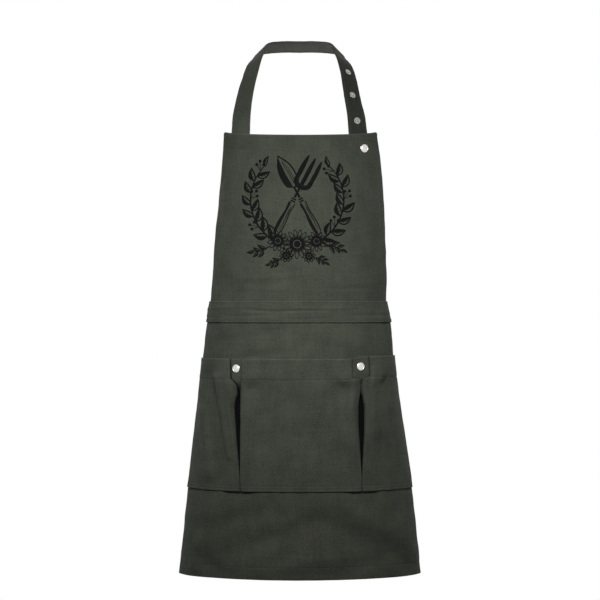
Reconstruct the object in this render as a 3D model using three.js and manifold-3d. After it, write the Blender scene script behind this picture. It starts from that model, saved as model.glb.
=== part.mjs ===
// A gardening apron in the form it has when worn: a bib on a neck strap, a waistband with a tie
// that goes round the back, a skirt, and a pocket panel with two inverted pleats.
// Millimetres, +Z up, the front faces -Y. The origin is the middle of the neck strap's inner
// face, where it lies on the nape of the neck.

import * as THREE from "three";
import { mergeVertices } from "three/addons/utils/BufferGeometryUtils.js";
import Module from "manifold-3d";

const wasm = await Module();
wasm.setup();

// Lengths down the front, from the nape of the neck
const STRAP_DROP = 179.5;
const CORNER_RISE = 8.5;
const BIB_HEIGHT = 292.5;
const BAND_HEIGHT = 36;
const SKIRT_LENGTH = 450.5;

// Widths from one side edge to the other, as the apron hangs
const BIB_TOP_WIDTH = 273;
const WAIST_WIDTH = 331;
const HEM_WIDTH = 433;

// The oval of the body: how far the front lies before the nape, how far the side edges lie
// behind the front, how many degrees of the oval each half covers
const FRONT_REACH = 178;
const SIDE_DEPTH = 85;
const WRAP = THREE.MathUtils.degToRad(78);
const WAIST_BACK = 40;

// Thickness of the cloths and widths of the hems
const CLOTH = 1.2;
const BAND_CLOTH = 1.6;
const STRAP_CLOTH = 2.2;
const TIE_CLOTH = 1.6;
const SIDE_HEM = 18;
const TOP_HEM = 30;
const FOOT_HEM = 23;
const FOLD_DEPTH = 4;

// Neck strap and tie
const STRAP_WIDTH = 34;
const TIE_WIDTH = 28;
const TIE_TUCK = 34;
const KNOT_LENGTH = 24;
const KNOT_WALL = 2.4;

// Pocket panel
const POCKET_DROP = 65;
const POCKET_HEIGHT = 231.5;
const MOUTH_RISE = 4.5;
const POCKET_STAND_OFF = 8.5;
const PLEAT_OPENING = 30;
const PLEAT_TUCK = 15;
const PLEAT_PUFF = 7;
const POCKET_STUD_DROP = 17;

// Press studs
const CAP_RADIUS = 7.2;
const CAP_HEIGHT = 2.4;
const SOCKET_RADIUS = 5.4;
const SOCKET_HEIGHT = 2.4;
const STUD_RADIUS = 5.6;
const STUD_FLANGE = 0.6;
const NUB_HEIGHT = 1.5;
const RIVET_RADIUS = 4.8;
const RIVET_HEIGHT = 1.4;
const SHANK_RADIUS = 1.9;
const STUD_PITCH = 50.5;
const STUD_COUNT = 4;
const BIB_CAP_DROP = 25.5;

// Clearances: of a close fit, of a stud on the curved cloth that it sits on, and of a cloth
// laid on another
const GAP = 0.3;
const SEAT = 0.5;
const LAID = 0.8;

// Heights of the levels where the pieces meet
const BIB_TOP = -STRAP_DROP;
const BAND_TOP = BIB_TOP - BIB_HEIGHT;
const BAND_FOOT = BAND_TOP - BAND_HEIGHT;
const BAND_MIDDLE = (BAND_TOP + BAND_FOOT) / 2;
const HEM = BAND_FOOT - SKIRT_LENGTH;
const MOUTH = BAND_FOOT - POCKET_DROP;
const POCKET_FOOT = MOUTH - POCKET_HEIGHT;

// Sections of the front. down is a share of the piece's height, left and right are how far each
// side edge has gone from the width above to the width below, reach and depth are shares of
// FRONT_REACH and SIDE_DEPTH.
const SECTIONS = [
  { piece: "bib", down: 0, left: -0.03, right: 0.03, reach: 0.966, depth: 0.42 },
  { piece: "bib", down: 0.13, left: 0.07, right: 0.24, reach: 0.99, depth: 0.58 },
  { piece: "bib", down: 0.38, left: 0.3, right: 0.45, reach: 1.03, depth: 0.75 },
  { piece: "bib", down: 0.62, left: 0.53, right: 0.56, reach: 1.035, depth: 0.82 },
  { piece: "bib", down: 0.87, left: 0.72, right: 0.66, reach: 1.015, depth: 0.86 },
  { piece: "bib", down: 1, left: 0.86, right: 0.63, reach: 1, depth: 0.86 },
  { piece: "band", down: 1, left: 0.03, right: -0.06, reach: 1, depth: 0.86 },
  { piece: "skirt", down: 0.15, left: 0.185, right: 0.06, reach: 1.02, depth: 0.93 },
  { piece: "skirt", down: 0.32, left: 0.35, right: 0.26, reach: 1.04, depth: 1 },
  { piece: "skirt", down: 0.66, left: 0.69, right: 0.69, reach: 1.055, depth: 1 },
  { piece: "skirt", down: 1, left: 1, right: 1, reach: 1.067, depth: 1 },
];

// Soft folds of the cloth. across runs from -1 at the left edge to 1 at the right, down is a
// share of the length from the bib's top to the hem, long and wide are shares of SKIRT_LENGTH,
// lean is in degrees from upright, lift is a share of FOLD_DEPTH.
const FOLDS = [
  { across: -0.8, down: 0.13, long: 0.19, wide: 0.04, lean: 16, lift: 0.5 },
  { across: 0.84, down: 0.13, long: 0.2, wide: 0.04, lean: -6, lift: 0.5 },
  { across: -0.4, down: 0.3, long: 0.2, wide: 0.1, lean: 30, lift: -0.35 },
  { across: 0.45, down: 0.31, long: 0.2, wide: 0.1, lean: -26, lift: -0.35 },
  { across: -0.72, down: 0.92, long: 0.24, wide: 0.09, lean: 7, lift: 0.8 },
  { across: -0.5, down: 0.95, long: 0.16, wide: 0.07, lean: 24, lift: -0.7 },
  { across: -0.16, down: 0.93, long: 0.16, wide: 0.07, lean: 38, lift: -0.6 },
  { across: 0.04, down: 0.9, long: 0.18, wide: 0.08, lean: -30, lift: 0.5 },
  { across: 0.36, down: 0.95, long: 0.2, wide: 0.08, lean: -42, lift: -0.8 },
  { across: 0.7, down: 0.93, long: 0.24, wide: 0.09, lean: -6, lift: 0.8 },
];

// Neck strap from the bib's edge to the nape. left and right are shares of half BIB_TOP_WIDTH,
// before of FRONT_REACH, below of STRAP_DROP. faces and dips are the degrees that the strap's
// width is turned from straight outwards to straight back, and downwards.
const STRAP_LINE = [
  { left: 0.755, right: 0.726, before: 0.803, below: 0.794, faces: 24, dips: 5 },
  { left: 0.727, right: 0.687, before: 0.747, below: 0.639, faces: 30, dips: 8 },
  { left: 0.687, right: 0.654, before: 0.674, below: 0.481, faces: 33, dips: 10 },
  { left: 0.654, right: 0.634, before: 0.618, below: 0.384, faces: 35, dips: 12 },
  { left: 0.623, right: 0.605, before: 0.539, below: 0.284, faces: 36, dips: 14 },
  { left: 0.596, right: 0.577, before: 0.466, below: 0.213, faces: 38, dips: 17 },
  { left: 0.55, right: 0.528, before: 0.36, below: 0.138, faces: 44, dips: 21 },
  { left: 0.505, right: 0.49, before: 0.213, below: 0.056, faces: 56, dips: 25 },
  { left: 0.37, right: 0.36, before: 0.067, below: 0.016, faces: 74, dips: 27 },
  { left: 0.185, right: 0.18, before: 0.011, below: 0, faces: 85, dips: 27 },
];

// Where the strap's ends lie behind the bib: atEdge and atEnd are shares of half BIB_TOP_WIDTH
// outwards, tuck is a share of STRAP_WIDTH down from the bib's edge
const STRAP_ENDS = {
  left: { atEdge: 0.785, atEnd: 0.815, tuck: 0.9 },
  right: { atEdge: 0.776, atEnd: 0.87, tuck: 1.3 },
};

// Pleats of the pocket panel: side, and the place at the mouth and the lean towards the middle
// at the foot, as shares of half WAIST_WIDTH
const PLEATS = [
  { side: -1, out: 0.683, lean: 0.048 },
  { side: 1, out: 0.646, lean: -0.015 },
];

// How far each pleat stands open, as a share of PLEAT_OPENING, from the mouth to the foot
const PLEAT_LINE = [
  { down: 0, left: 0.74, right: 1.1 },
  { down: 0.14, left: 0.68, right: 1.08 },
  { down: 0.21, left: 0.5, right: 0.5 },
  { down: 0.3, left: 0.38, right: 0.4 },
  { down: 0.55, left: 0.24, right: 0.31 },
  { down: 0.75, left: 0.1, right: 0.13 },
  { down: 0.9, left: 0.01, right: 0.01 },
  { down: 1, left: 0.01, right: 0.01 },
];

// Folds of the pocket's cloth. from and to are shares of half WAIST_WIDTH along the cloth,
// fromDown and toDown of POCKET_HEIGHT, wide of PLEAT_OPENING, lift of POCKET_STAND_OFF.
const POCKET_FOLDS = [
  { from: -1.12, fromDown: 0.2, to: -0.76, toDown: 0.86, wide: 0.5, lift: -0.66 },
  { from: 0.86, fromDown: 0.3, to: 0.84, toDown: 0.9, wide: 0.6, lift: -0.25 },
];

// Where the panels come down beside a pleat, as shares of PLEAT_TUCK from its fold, and where
// the mouth rises to the right panel, as shares of the way to the side edge
const PLEAT_SHOULDER = { start: 1.13, end: 2.4 };
const MOUTH_STEP = { start: 0.4, end: 0.6 };

// How fine each mesh is
const BIB_GRID = { across: 20, down: 14 };
const SKIRT_GRID = { across: 24, down: 17 };
const BAND_GRID = { across: 28, down: 1 };
const POCKET_ROWS = 10;
const POCKET_SPANS = { side: 8, middle: 11 };
const STRAP_STEPS = 42;
const STRAP_COLUMNS = 4;
const TIE_STEPS = 46;
const TURNED_SIDES = 12;
const CAP_SIDES = 14;
const ARC_STEPS = 48;
const HEM_STEP = 0.6;
const NEAR = 0.01;
const WELD = 1e-4;

const material = (colour, roughness, metalness) =>
  new THREE.MeshStandardMaterial({ color: colour, roughness, metalness });
const canvas = material(0x484b43, 0.92, 0);
const webbing = material(0x41453d, 0.9, 0);
const nickel = material(0xd9d9d6, 0.25, 1);

const apron = new THREE.Group();

function add(name, geometry, finish, parent = apron) {
  const mesh = new THREE.Mesh(geometry, finish);
  mesh.name = name;
  parent.add(mesh);
  return mesh;
}

const clamp = THREE.MathUtils.clamp;
const lerp = THREE.MathUtils.lerp;
const spread = (from, to, count) =>
  Array.from({ length: count + 1 }, (unused, i) => lerp(from, to, i / count));

// Reads a column of a table at a place, on a smooth curve through its rows
function follow(rows, places, column, place) {
  const last = rows.length - 1;
  const rising = places[last] > places[0] ? 1 : -1;
  let row = 0;
  while (row < last - 1 && (place - places[row + 1]) * rising > 0) row += 1;
  const slope = (at) => {
    const before = Math.max(at - 1, 0);
    const after = Math.min(at + 1, last);
    return (rows[after][column] - rows[before][column]) / (places[after] - places[before]);
  };
  const span = places[row + 1] - places[row];
  const t = clamp((place - places[row]) / span, 0, 1);
  const start = rows[row][column];
  const end = rows[row + 1][column];
  return (
    start * (2 * t ** 3 - 3 * t ** 2 + 1) +
    slope(row) * span * (t ** 3 - 2 * t ** 2 + t) +
    end * (3 * t ** 2 - 2 * t ** 3) +
    slope(row + 1) * span * (t ** 3 - t ** 2)
  );
}

// The sections in millimetres
const PIECES = {
  bib: { top: BIB_TOP, height: BIB_HEIGHT, above: BIB_TOP_WIDTH, below: WAIST_WIDTH },
  band: { top: BAND_TOP, height: BAND_HEIGHT, above: WAIST_WIDTH, below: HEM_WIDTH },
  skirt: { top: BAND_FOOT, height: SKIRT_LENGTH, above: WAIST_WIDTH, below: HEM_WIDTH },
};
const levels = SECTIONS.map((row) => {
  const piece = PIECES[row.piece];
  return {
    height: piece.top - row.down * piece.height,
    left: lerp(piece.above, piece.below, row.left) / 2,
    right: lerp(piece.above, piece.below, row.right) / 2,
    reach: row.reach * FRONT_REACH,
    depth: row.depth * SIDE_DEPTH,
  };
});
const levelHeights = levels.map((level) => level.height);

// The oval of the front at one height and on one side
function section(side, height) {
  const read = (column) => follow(levels, levelHeights, column, height);
  return {
    half: read(side < 0 ? "left" : "right") / Math.sin(WRAP),
    depth: read("depth") / (1 - Math.cos(WRAP)),
    reach: read("reach"),
  };
}

// How far the soft folds lift the cloth at a place
function foldLift(across, height) {
  const length = BIB_TOP - HEM;
  let lift = 0;
  for (const fold of FOLDS) {
    const lean = THREE.MathUtils.degToRad(fold.lean);
    const aside = ((across - fold.across) * WAIST_WIDTH) / 2;
    const below = BIB_TOP - fold.down * length - height;
    const along = (below * Math.cos(lean) - aside * Math.sin(lean)) / (fold.long * SKIRT_LENGTH);
    const off = (aside * Math.cos(lean) + below * Math.sin(lean)) / (fold.wide * SKIRT_LENGTH);
    lift += fold.lift * FOLD_DEPTH * Math.exp(-(along ** 2) - off ** 2);
  }
  return lift;
}

// A point of the front: across from -1 to 1, the height, and how far it stands off the outer face
function onFront(across, height, lift = 0) {
  const { half, depth, reach } = section(across, height);
  const turn = across * WRAP;
  const outward = new THREE.Vector3(depth * Math.sin(turn), -half * Math.cos(turn), 0).normalize();
  const point = new THREE.Vector3(
    half * Math.sin(turn),
    depth * (1 - Math.cos(turn)) - reach,
    height,
  );
  return point.addScaledVector(outward, lift + foldLift(across, height));
}

// across for a place given by its distance from the middle plane
function acrossAt(x, height) {
  const sine = x / section(x, height).half;
  return Math.asin(clamp(sine, -1, 1)) / WRAP;
}

// Lengths along the cloth from the middle to each step out to the side edge
function arcLengths(side, height) {
  const { half, depth } = section(side, height);
  const lengths = [0];
  for (let i = 1; i <= ARC_STEPS; i += 1) {
    const turn = ((i - 0.5) / ARC_STEPS) * WRAP;
    const step = Math.hypot(half * Math.cos(turn), depth * Math.sin(turn)) * (WRAP / ARC_STEPS);
    lengths.push(lengths[i - 1] + step);
  }
  return lengths;
}

// across for a place given by its length along the cloth from the middle
function acrossAlong(length, height) {
  const side = Math.sign(length) || 1;
  const lengths = arcLengths(side, height);
  const wanted = Math.abs(length);
  let i = 1;
  while (i < ARC_STEPS && lengths[i] < wanted) i += 1;
  const part = (wanted - lengths[i - 1]) / (lengths[i] - lengths[i - 1]);
  return (side * (i - 1 + part)) / ARC_STEPS;
}

const halfLength = (side, height) => arcLengths(side, height)[ARC_STEPS];

// Closes a mesh from a list of points and faces, and turns its faces outwards
function closed(points, faces) {
  let volume = 0;
  for (let i = 0; i < faces.length; i += 3) {
    const [a, b, c] = [points[faces[i]], points[faces[i + 1]], points[faces[i + 2]]];
    volume += a.dot(b.clone().cross(c));
  }
  if (volume < 0) faces.reverse();
  const geometry = new THREE.BufferGeometry().setFromPoints(points);
  geometry.setIndex(faces);
  geometry.computeVertexNormals();
  return geometry;
}

// A wall of cloth: place(column, row, inner) gives the points of its two faces
function wall(columns, rows, place) {
  const points = [];
  const faces = [];
  const index = (i, j, inner) => (inner * rows + j) * columns + i;
  for (let inner = 0; inner < 2; inner += 1) {
    for (let j = 0; j < rows; j += 1) {
      for (let i = 0; i < columns; i += 1) points.push(place(i, j, inner));
    }
  }
  const quad = (a, b, c, d) => faces.push(a, b, c, a, c, d);
  for (let j = 0; j < rows - 1; j += 1) {
    for (let i = 0; i < columns - 1; i += 1) {
      quad(index(i, j, 0), index(i, j + 1, 0), index(i + 1, j + 1, 0), index(i + 1, j, 0));
      quad(index(i, j, 1), index(i + 1, j, 1), index(i + 1, j + 1, 1), index(i, j + 1, 1));
    }
  }
  for (let i = 0; i < columns - 1; i += 1) {
    const foot = rows - 1;
    quad(index(i, 0, 0), index(i + 1, 0, 0), index(i + 1, 0, 1), index(i, 0, 1));
    quad(index(i + 1, foot, 0), index(i, foot, 0), index(i, foot, 1), index(i + 1, foot, 1));
  }
  for (let j = 0; j < rows - 1; j += 1) {
    const end = columns - 1;
    quad(index(0, j + 1, 0), index(0, j, 0), index(0, j, 1), index(0, j + 1, 1));
    quad(index(end, j, 0), index(end, j + 1, 0), index(end, j + 1, 1), index(end, j, 1));
  }
  return closed(points, faces);
}

function toSolid(geometry) {
  const bare = new THREE.BufferGeometry();
  bare.setAttribute("position", geometry.getAttribute("position").clone());
  bare.setIndex(geometry.getIndex());
  const merged = mergeVertices(bare, WELD);
  const vertProperties = new Float32Array(merged.getAttribute("position").array);
  const triVerts = new Uint32Array(merged.getIndex().array);
  return new wasm.Manifold(new wasm.Mesh({ numProp: 3, vertProperties, triVerts }));
}

function fromSolid(solid) {
  const mesh = solid.getMesh();
  const geometry = new THREE.BufferGeometry();
  geometry.setAttribute("position", new THREE.BufferAttribute(mesh.vertProperties, 3));
  geometry.setIndex(new THREE.BufferAttribute(mesh.triVerts, 1));
  geometry.computeVertexNormals();
  return geometry;
}

// Cuts a round hole for a shank through a cloth at each seat
const HOLE_RADIUS = (SHANK_RADIUS + GAP) / Math.cos(Math.PI / TURNED_SIDES);
const BORE_LENGTH = 4 * STRAP_CLOTH;

function pierced(geometry, seats) {
  let solid = toSolid(geometry);
  for (const seat of seats) {
    const bore = new THREE.CylinderGeometry(HOLE_RADIUS, HOLE_RADIUS, BORE_LENGTH, TURNED_SIDES);
    bore.applyQuaternion(seat.turn);
    bore.translate(seat.point.x, seat.point.y, seat.point.z);
    solid = solid.subtract(toSolid(bore));
  }
  return fromSolid(solid);
}

// A place on a cloth where a stud sits, with +Y of its frame along the cloth's outward normal
function seatAt(point, outward) {
  const turn = new THREE.Quaternion().setFromUnitVectors(new THREE.Vector3(0, 1, 0), outward);
  return { point, turn };
}

function seatOnFront(across, height) {
  const right = onFront(across + NEAR, height).sub(onFront(across - NEAR, height));
  const up = onFront(across, height + 1).sub(onFront(across, height - 1));
  return seatAt(onFront(across, height), right.cross(up).normalize());
}

// Columns from edge to edge, with a close pair where each side hem ends
function hemmedColumns(width, count) {
  const hem = 1 - SIDE_HEM / (width / 2);
  const step = HEM_STEP / (width / 2);
  return [-1, -hem - step, ...spread(-hem, hem, count), hem + step, 1];
}

// Bib and skirt: walls on the front's oval, with hems folded to the back
function frontCloth({ top, foot, topHem, footHem, width, grid }) {
  const columns = hemmedColumns(width, grid.across);
  const isSideHem = (i) => i < 2 || i > columns.length - 3;
  const rows = [];
  if (topHem) {
    rows.push({ isHem: true, drop: () => 0 });
    rows.push({ isHem: true, drop: () => topHem });
  }
  const start = topHem ? topHem + HEM_STEP : 0;
  const end = footHem ? footHem + HEM_STEP : 0;
  for (const part of spread(0, 1, grid.down)) {
    rows.push({ isHem: false, drop: (total) => lerp(start, total - end, part) });
  }
  if (footHem) {
    rows.push({ isHem: true, drop: (total) => total - footHem });
    rows.push({ isHem: true, drop: (total) => total });
  }
  return wall(columns.length, rows.length, (i, j, inner) => {
    const edge = top(columns[i]);
    const thick = isSideHem(i) || rows[j].isHem ? 2 * CLOTH : CLOTH;
    return onFront(columns[i], edge - rows[j].drop(edge - foot), inner ? -thick : 0);
  });
}

const bibEdge = (across) => BIB_TOP + CORNER_RISE * across ** 2;

// Where the strap's end lies on the bib: how far out and at what height, for a drop from the edge
function strapPlace(side, drop) {
  const ends = side < 0 ? STRAP_ENDS.left : STRAP_ENDS.right;
  const part = drop / (ends.tuck * STRAP_WIDTH);
  const x = (side * lerp(ends.atEdge, ends.atEnd, part) * BIB_TOP_WIDTH) / 2;
  const height = bibEdge(acrossAt(x, BIB_TOP)) - drop;
  return { across: acrossAt(x, height), height };
}

// Bib with the hole for its cap
const capPlace = strapPlace(1, BIB_CAP_DROP);
const capSeat = seatOnFront(capPlace.across, capPlace.height);
const bibCloth = frontCloth({
  top: bibEdge,
  foot: BAND_MIDDLE + GAP / 2,
  topHem: TOP_HEM,
  footHem: 0,
  width: BIB_TOP_WIDTH,
  grid: BIB_GRID,
});
add("bib", pierced(bibCloth, [capSeat]), canvas);

// Waistband over the seam of bib and skirt
const bandColumns = spread(-1, 1, BAND_GRID.across);
const bandRows = spread(BAND_TOP, BAND_FOOT, BAND_GRID.down);
add(
  "waistband",
  wall(bandColumns.length, bandRows.length, (i, j, inner) =>
    onFront(bandColumns[i], bandRows[j], inner ? LAID : LAID + BAND_CLOTH),
  ),
  canvas,
);

// Thickness of a closed press stud between the two cloths that it joins
const STUD_STACK = SEAT + SOCKET_HEIGHT + GAP + STUD_FLANGE + SEAT;

// Neck strap: stations along its inner face, each with the direction of its width and how far
// its edges curve back, as the bib does that they lie on
function strapEnd(side) {
  const ends = side < 0 ? STRAP_ENDS.left : STRAP_ENDS.right;
  const stack = side < 0 ? LAID : STUD_STACK;
  return [1, 0.5, 0.1].map((part) => {
    const { across, height } = strapPlace(side, part * ends.tuck * STRAP_WIDTH);
    const lift = -(2 * CLOTH + stack + STRAP_CLOTH);
    const point = onFront(across, height, lift);
    const beside = onFront(across + NEAR, height, lift);
    const halfWide = (NEAR * STRAP_WIDTH) / 2 / beside.distanceTo(point);
    const outer = onFront(across + side * halfWide, height, lift);
    const inner = onFront(across - side * halfWide, height, lift);
    const cup = point.distanceTo(outer.clone().lerp(inner, 0.5));
    return { point, width: outer.sub(inner).normalize(), cup };
  });
}

function strapLimb(side) {
  return STRAP_LINE.map((row) => {
    const faces = THREE.MathUtils.degToRad(row.faces);
    const dips = THREE.MathUtils.degToRad(row.dips);
    const out = (side * (side < 0 ? row.left : row.right) * BIB_TOP_WIDTH) / 2;
    return {
      point: new THREE.Vector3(out, -row.before * FRONT_REACH, -row.below * STRAP_DROP),
      width: new THREE.Vector3(
        side * Math.cos(faces) * Math.cos(dips),
        Math.sin(faces) * Math.cos(dips),
        -Math.sin(dips),
      ),
      cup: 0,
    };
  });
}

const napeDip = THREE.MathUtils.degToRad(STRAP_LINE.at(-1).dips);
const nape = {
  point: new THREE.Vector3(0, 0, 0),
  width: new THREE.Vector3(0, Math.cos(napeDip), -Math.sin(napeDip)),
  cup: 0,
};
const strapStations = [
  ...strapEnd(-1),
  ...strapLimb(-1),
  nape,
  ...strapLimb(1).reverse(),
  ...strapEnd(1).reverse(),
];
const strapLine = new THREE.CatmullRomCurve3(strapStations.map((station) => station.point));
const strapWidths = new THREE.CatmullRomCurve3(strapStations.map((station) => station.width));
const strapCups = new THREE.CatmullRomCurve3(
  strapStations.map((station) => new THREE.Vector3(station.cup, 0, 0)),
);
const strapLength = strapLine.getLength();

function onStrap(distance, aside, lift) {
  const t = strapLine.getUtoTmapping(0, distance);
  const along = strapLine.getTangent(t);
  const width = strapWidths.getPoint(t);
  width.addScaledVector(along, -width.dot(along)).normalize();
  const outward = along.clone().cross(width);
  const back = strapCups.getPoint(t).x * (aside / (STRAP_WIDTH / 2)) ** 2;
  const point = strapLine.getPoint(t).addScaledVector(width, aside);
  return { point: point.addScaledVector(outward, lift - back), outward };
}

// The lowest stud is closed in the bib's socket, the others follow up the strap
const capAlongStrap = strapLength - (STRAP_ENDS.right.tuck * STRAP_WIDTH - BIB_CAP_DROP);
const strapSeats = [
  {
    turn: capSeat.turn,
    point: new THREE.Vector3(0, -(2 * CLOTH + STUD_STACK), 0)
      .applyQuaternion(capSeat.turn)
      .add(capSeat.point),
  },
];
for (let i = 1; i < STUD_COUNT; i += 1) {
  const { point, outward } = onStrap(capAlongStrap - i * STUD_PITCH, 0, STRAP_CLOTH);
  strapSeats.push(seatAt(point, outward));
}

const strapSteps = spread(0, strapLength, STRAP_STEPS);
const strapAsides = spread(-STRAP_WIDTH / 2, STRAP_WIDTH / 2, STRAP_COLUMNS);
const strapCloth = wall(strapAsides.length, strapSteps.length, (i, j, inner) => {
  const { point } = onStrap(strapSteps[j], strapAsides[i], inner ? 0 : STRAP_CLOTH);
  return point;
});
add("neck_strap", pierced(strapCloth, strapSeats), webbing);

// Waist tie: its ends lie behind the waistband, its loop goes plainly round the back
function tieStations(side, aside) {
  const stations = [];
  const height = BAND_MIDDLE + aside;
  const lift = -(2 * CLOTH + LAID + SEAT);
  const edge = onFront(side, height, lift);
  const tucked = 1 - TIE_TUCK / halfLength(side, height);
  for (const across of spread(tucked, 1, 3)) stations.push(onFront(side * across, height, lift));
  for (const part of spread(0, 1, 7).slice(1)) {
    const turn = (part * Math.PI) / 2;
    const back = lerp(edge.y, WAIST_BACK, Math.sin(turn));
    stations.push(new THREE.Vector3(edge.x * Math.cos(turn), back, height));
  }
  return stations;
}

const tieSteps = spread(0, 1, TIE_STEPS);
const tieAsides = [TIE_WIDTH / 2, -TIE_WIDTH / 2];
const tieEdges = tieAsides.map((aside) => {
  const otherHalf = tieStations(1, aside).slice(0, -1).reverse();
  return new THREE.CatmullRomCurve3([...tieStations(-1, aside), ...otherHalf]);
});
const tie = wall(tieSteps.length, tieAsides.length, (i, j, inner) => {
  const point = tieEdges[j].getPointAt(tieSteps[i]);
  const along = tieEdges[j].getTangentAt(tieSteps[i]);
  const inward = new THREE.Vector3(along.y, -along.x, 0).normalize();
  return point.addScaledVector(inward, inner ? TIE_CLOTH : 0);
});
add("waist_tie", tie, webbing);

// Knot: one plain sleeve round the tie at the middle of the back
function roundedSlot(width, height, radius) {
  const shape = new THREE.Shape();
  const [x, y] = [width / 2 - radius, height / 2 - radius];
  shape.absarc(x, y, radius, 0, Math.PI / 2);
  shape.absarc(-x, y, radius, Math.PI / 2, Math.PI);
  shape.absarc(-x, -y, radius, Math.PI, 1.5 * Math.PI);
  shape.absarc(x, -y, radius, 1.5 * Math.PI, 2 * Math.PI);
  return shape;
}

const knotRoom = 2 * SEAT;
const slotWide = TIE_CLOTH + 2 * knotRoom;
const slotHigh = TIE_WIDTH + 2 * knotRoom;
const knotShape = roundedSlot(slotWide + 2 * KNOT_WALL, slotHigh + 2 * KNOT_WALL, KNOT_WALL);
knotShape.holes.push(roundedSlot(slotWide, slotHigh, slotWide / 4));
const knotGeometry = new THREE.ExtrudeGeometry(knotShape, {
  depth: KNOT_LENGTH,
  bevelEnabled: false,
  curveSegments: 3,
});
knotGeometry.translate(0, 0, -KNOT_LENGTH / 2);
const knot = add("tie_knot", knotGeometry, webbing);
knot.quaternion.setFromRotationMatrix(
  new THREE.Matrix4().makeBasis(
    new THREE.Vector3(0, 1, 0),
    new THREE.Vector3(0, 0, 1),
    new THREE.Vector3(1, 0, 0),
  ),
);
knot.position.set(0, WAIST_BACK - TIE_CLOTH / 2, BAND_MIDDLE);

// Pocket panel: one cloth, laid along the skirt in two inverted pleats
const layer = CLOTH + SEAT;
const seamLift = LAID + CLOTH / 2;
const pleatDowns = PLEAT_LINE.map((row) => row.down);

function pocketFoldLift(along, down) {
  let lift = 0;
  for (const fold of POCKET_FOLDS) {
    const start = new THREE.Vector2(fold.from * WAIST_WIDTH / 2, fold.fromDown * POCKET_HEIGHT);
    const end = new THREE.Vector2(fold.to * WAIST_WIDTH / 2, fold.toDown * POCKET_HEIGHT);
    const place = new THREE.Vector2(along, down * POCKET_HEIGHT);
    const line = end.clone().sub(start);
    const part = clamp(place.clone().sub(start).dot(line) / line.lengthSq(), 0, 1);
    const off = place.distanceTo(start.addScaledVector(line, part)) / (fold.wide * PLEAT_OPENING);
    lift += fold.lift * POCKET_STAND_OFF * Math.exp(-(off ** 2));
  }
  return lift;
}

// The line of the pocket cloth's middle at one share of the way down: length along the skirt
// and lift off it. Below the stud the pleat's inner layer falls back on the skirt, and the outer
// folds stand puffed off it.
function pocketLine(down) {
  const height = lerp(MOUTH, POCKET_FOOT, down);
  const studRow = POCKET_STUD_DROP / POCKET_HEIGHT;
  const fallen = THREE.MathUtils.smoothstep(down, 1.6 * studRow, 3.6 * studRow);
  const puff = PLEAT_PUFF * THREE.MathUtils.smoothstep(down, 0, 4 * studRow) * (1 - down);
  const under = lerp(STUD_STACK + CLOTH / 2, seamLift, fallen);
  const between = under + layer;
  const over = between + layer + puff;
  const line = [];
  const lay = (along, lift) => line.push(new THREE.Vector2(along, lift));

  // The cloth turns back over an edge, in four points of a half round
  const turnBack = (edge, way, from, to) => {
    const corner = (to - from) * 0.3;
    const round = Math.min(Math.abs(corner), CLOTH / 2);
    lay(edge - way * round, from);
    lay(edge, from + corner);
    lay(edge, to - corner);
    lay(edge - way * round, to);
  };

  // A panel stands off the skirt, and lies over the layers of the pleats beside it
  const panel = (from, to, parts, folds) => {
    const { start, end } = PLEAT_SHOULDER;
    for (const part of parts) {
      const along = lerp(from, to, part);
      const toFold = Math.min(...folds.map((fold) => Math.abs(fold - along)));
      const beside = 1 - THREE.MathUtils.smoothstep(toFold / PLEAT_TUCK, start, end);
      const floor = lerp(seamLift, between + layer, beside);
      const stand = POCKET_STAND_OFF * (1 - down) * Math.sin(part * Math.PI);
      const lift = lerp(seamLift, over, beside) + stand * (1 - beside / 2);
      lay(along, Math.max(floor, lift + pocketFoldLift(along, down)));
    }
  };

  const ends = [-1, 1].map((side) => side * (halfLength(side, height) - SEAT));
  const pleats = PLEATS.map((pleat) => {
    const column = pleat.side < 0 ? "left" : "right";
    const middle = (pleat.side * (pleat.out - pleat.lean * down) * WAIST_WIDTH) / 2;
    const opening = follow(PLEAT_LINE, pleatDowns, column, down) * PLEAT_OPENING + CLOTH + SEAT;
    return { middle, from: middle - opening / 2, to: middle + opening / 2 };
  });
  const sideParts = spread(0, 1, POCKET_SPANS.side);
  const middleParts = spread(0, 1, POCKET_SPANS.middle);

  panel(ends[0], pleats[0].from, sideParts.slice(0, -1), [pleats[0].from]);
  pleats.forEach((pleat, i) => {
    turnBack(pleat.from, 1, over, between);
    turnBack(pleat.from - PLEAT_TUCK, -1, between, under);
    lay(pleat.from, under);
    lay(pleat.middle, under);
    lay(pleat.to, under);
    turnBack(pleat.to + PLEAT_TUCK, 1, under, between);
    turnBack(pleat.to, -1, between, over);
    if (i === 0) {
      const folds = [pleat.to, pleats[1].from];
      panel(pleat.to, pleats[1].from, middleParts.slice(1, -1), folds);
    }
  });
  panel(pleats[1].to, ends[1], sideParts.slice(1), [pleats[1].to]);
  return line;
}

// Moves each point of a line aside by half the cloth, mitred at the corners
function offsetLine(line, offset) {
  return line.map((point, i) => {
    const before = line[Math.max(i - 1, 0)];
    const after = line[Math.min(i + 1, line.length - 1)];
    const first = point.clone().sub(i > 0 ? before : after);
    const second = after.clone().sub(i < line.length - 1 ? point : before);
    if (i === 0) first.negate();
    first.normalize();
    second.normalize();
    const bisector = new THREE.Vector2(-first.y - second.y, first.x + second.x).normalize();
    const cosine = Math.max(bisector.dot(new THREE.Vector2(-first.y, first.x)), 0.5);
    return point.clone().addScaledVector(bisector, offset / cosine);
  });
}

// The mouth's height: it is higher on the right panel
function mouthAt(along) {
  const part = along / halfLength(1, MOUTH);
  return MOUTH + MOUTH_RISE * THREE.MathUtils.smoothstep(part, MOUTH_STEP.start, MOUTH_STEP.end);
}

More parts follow.
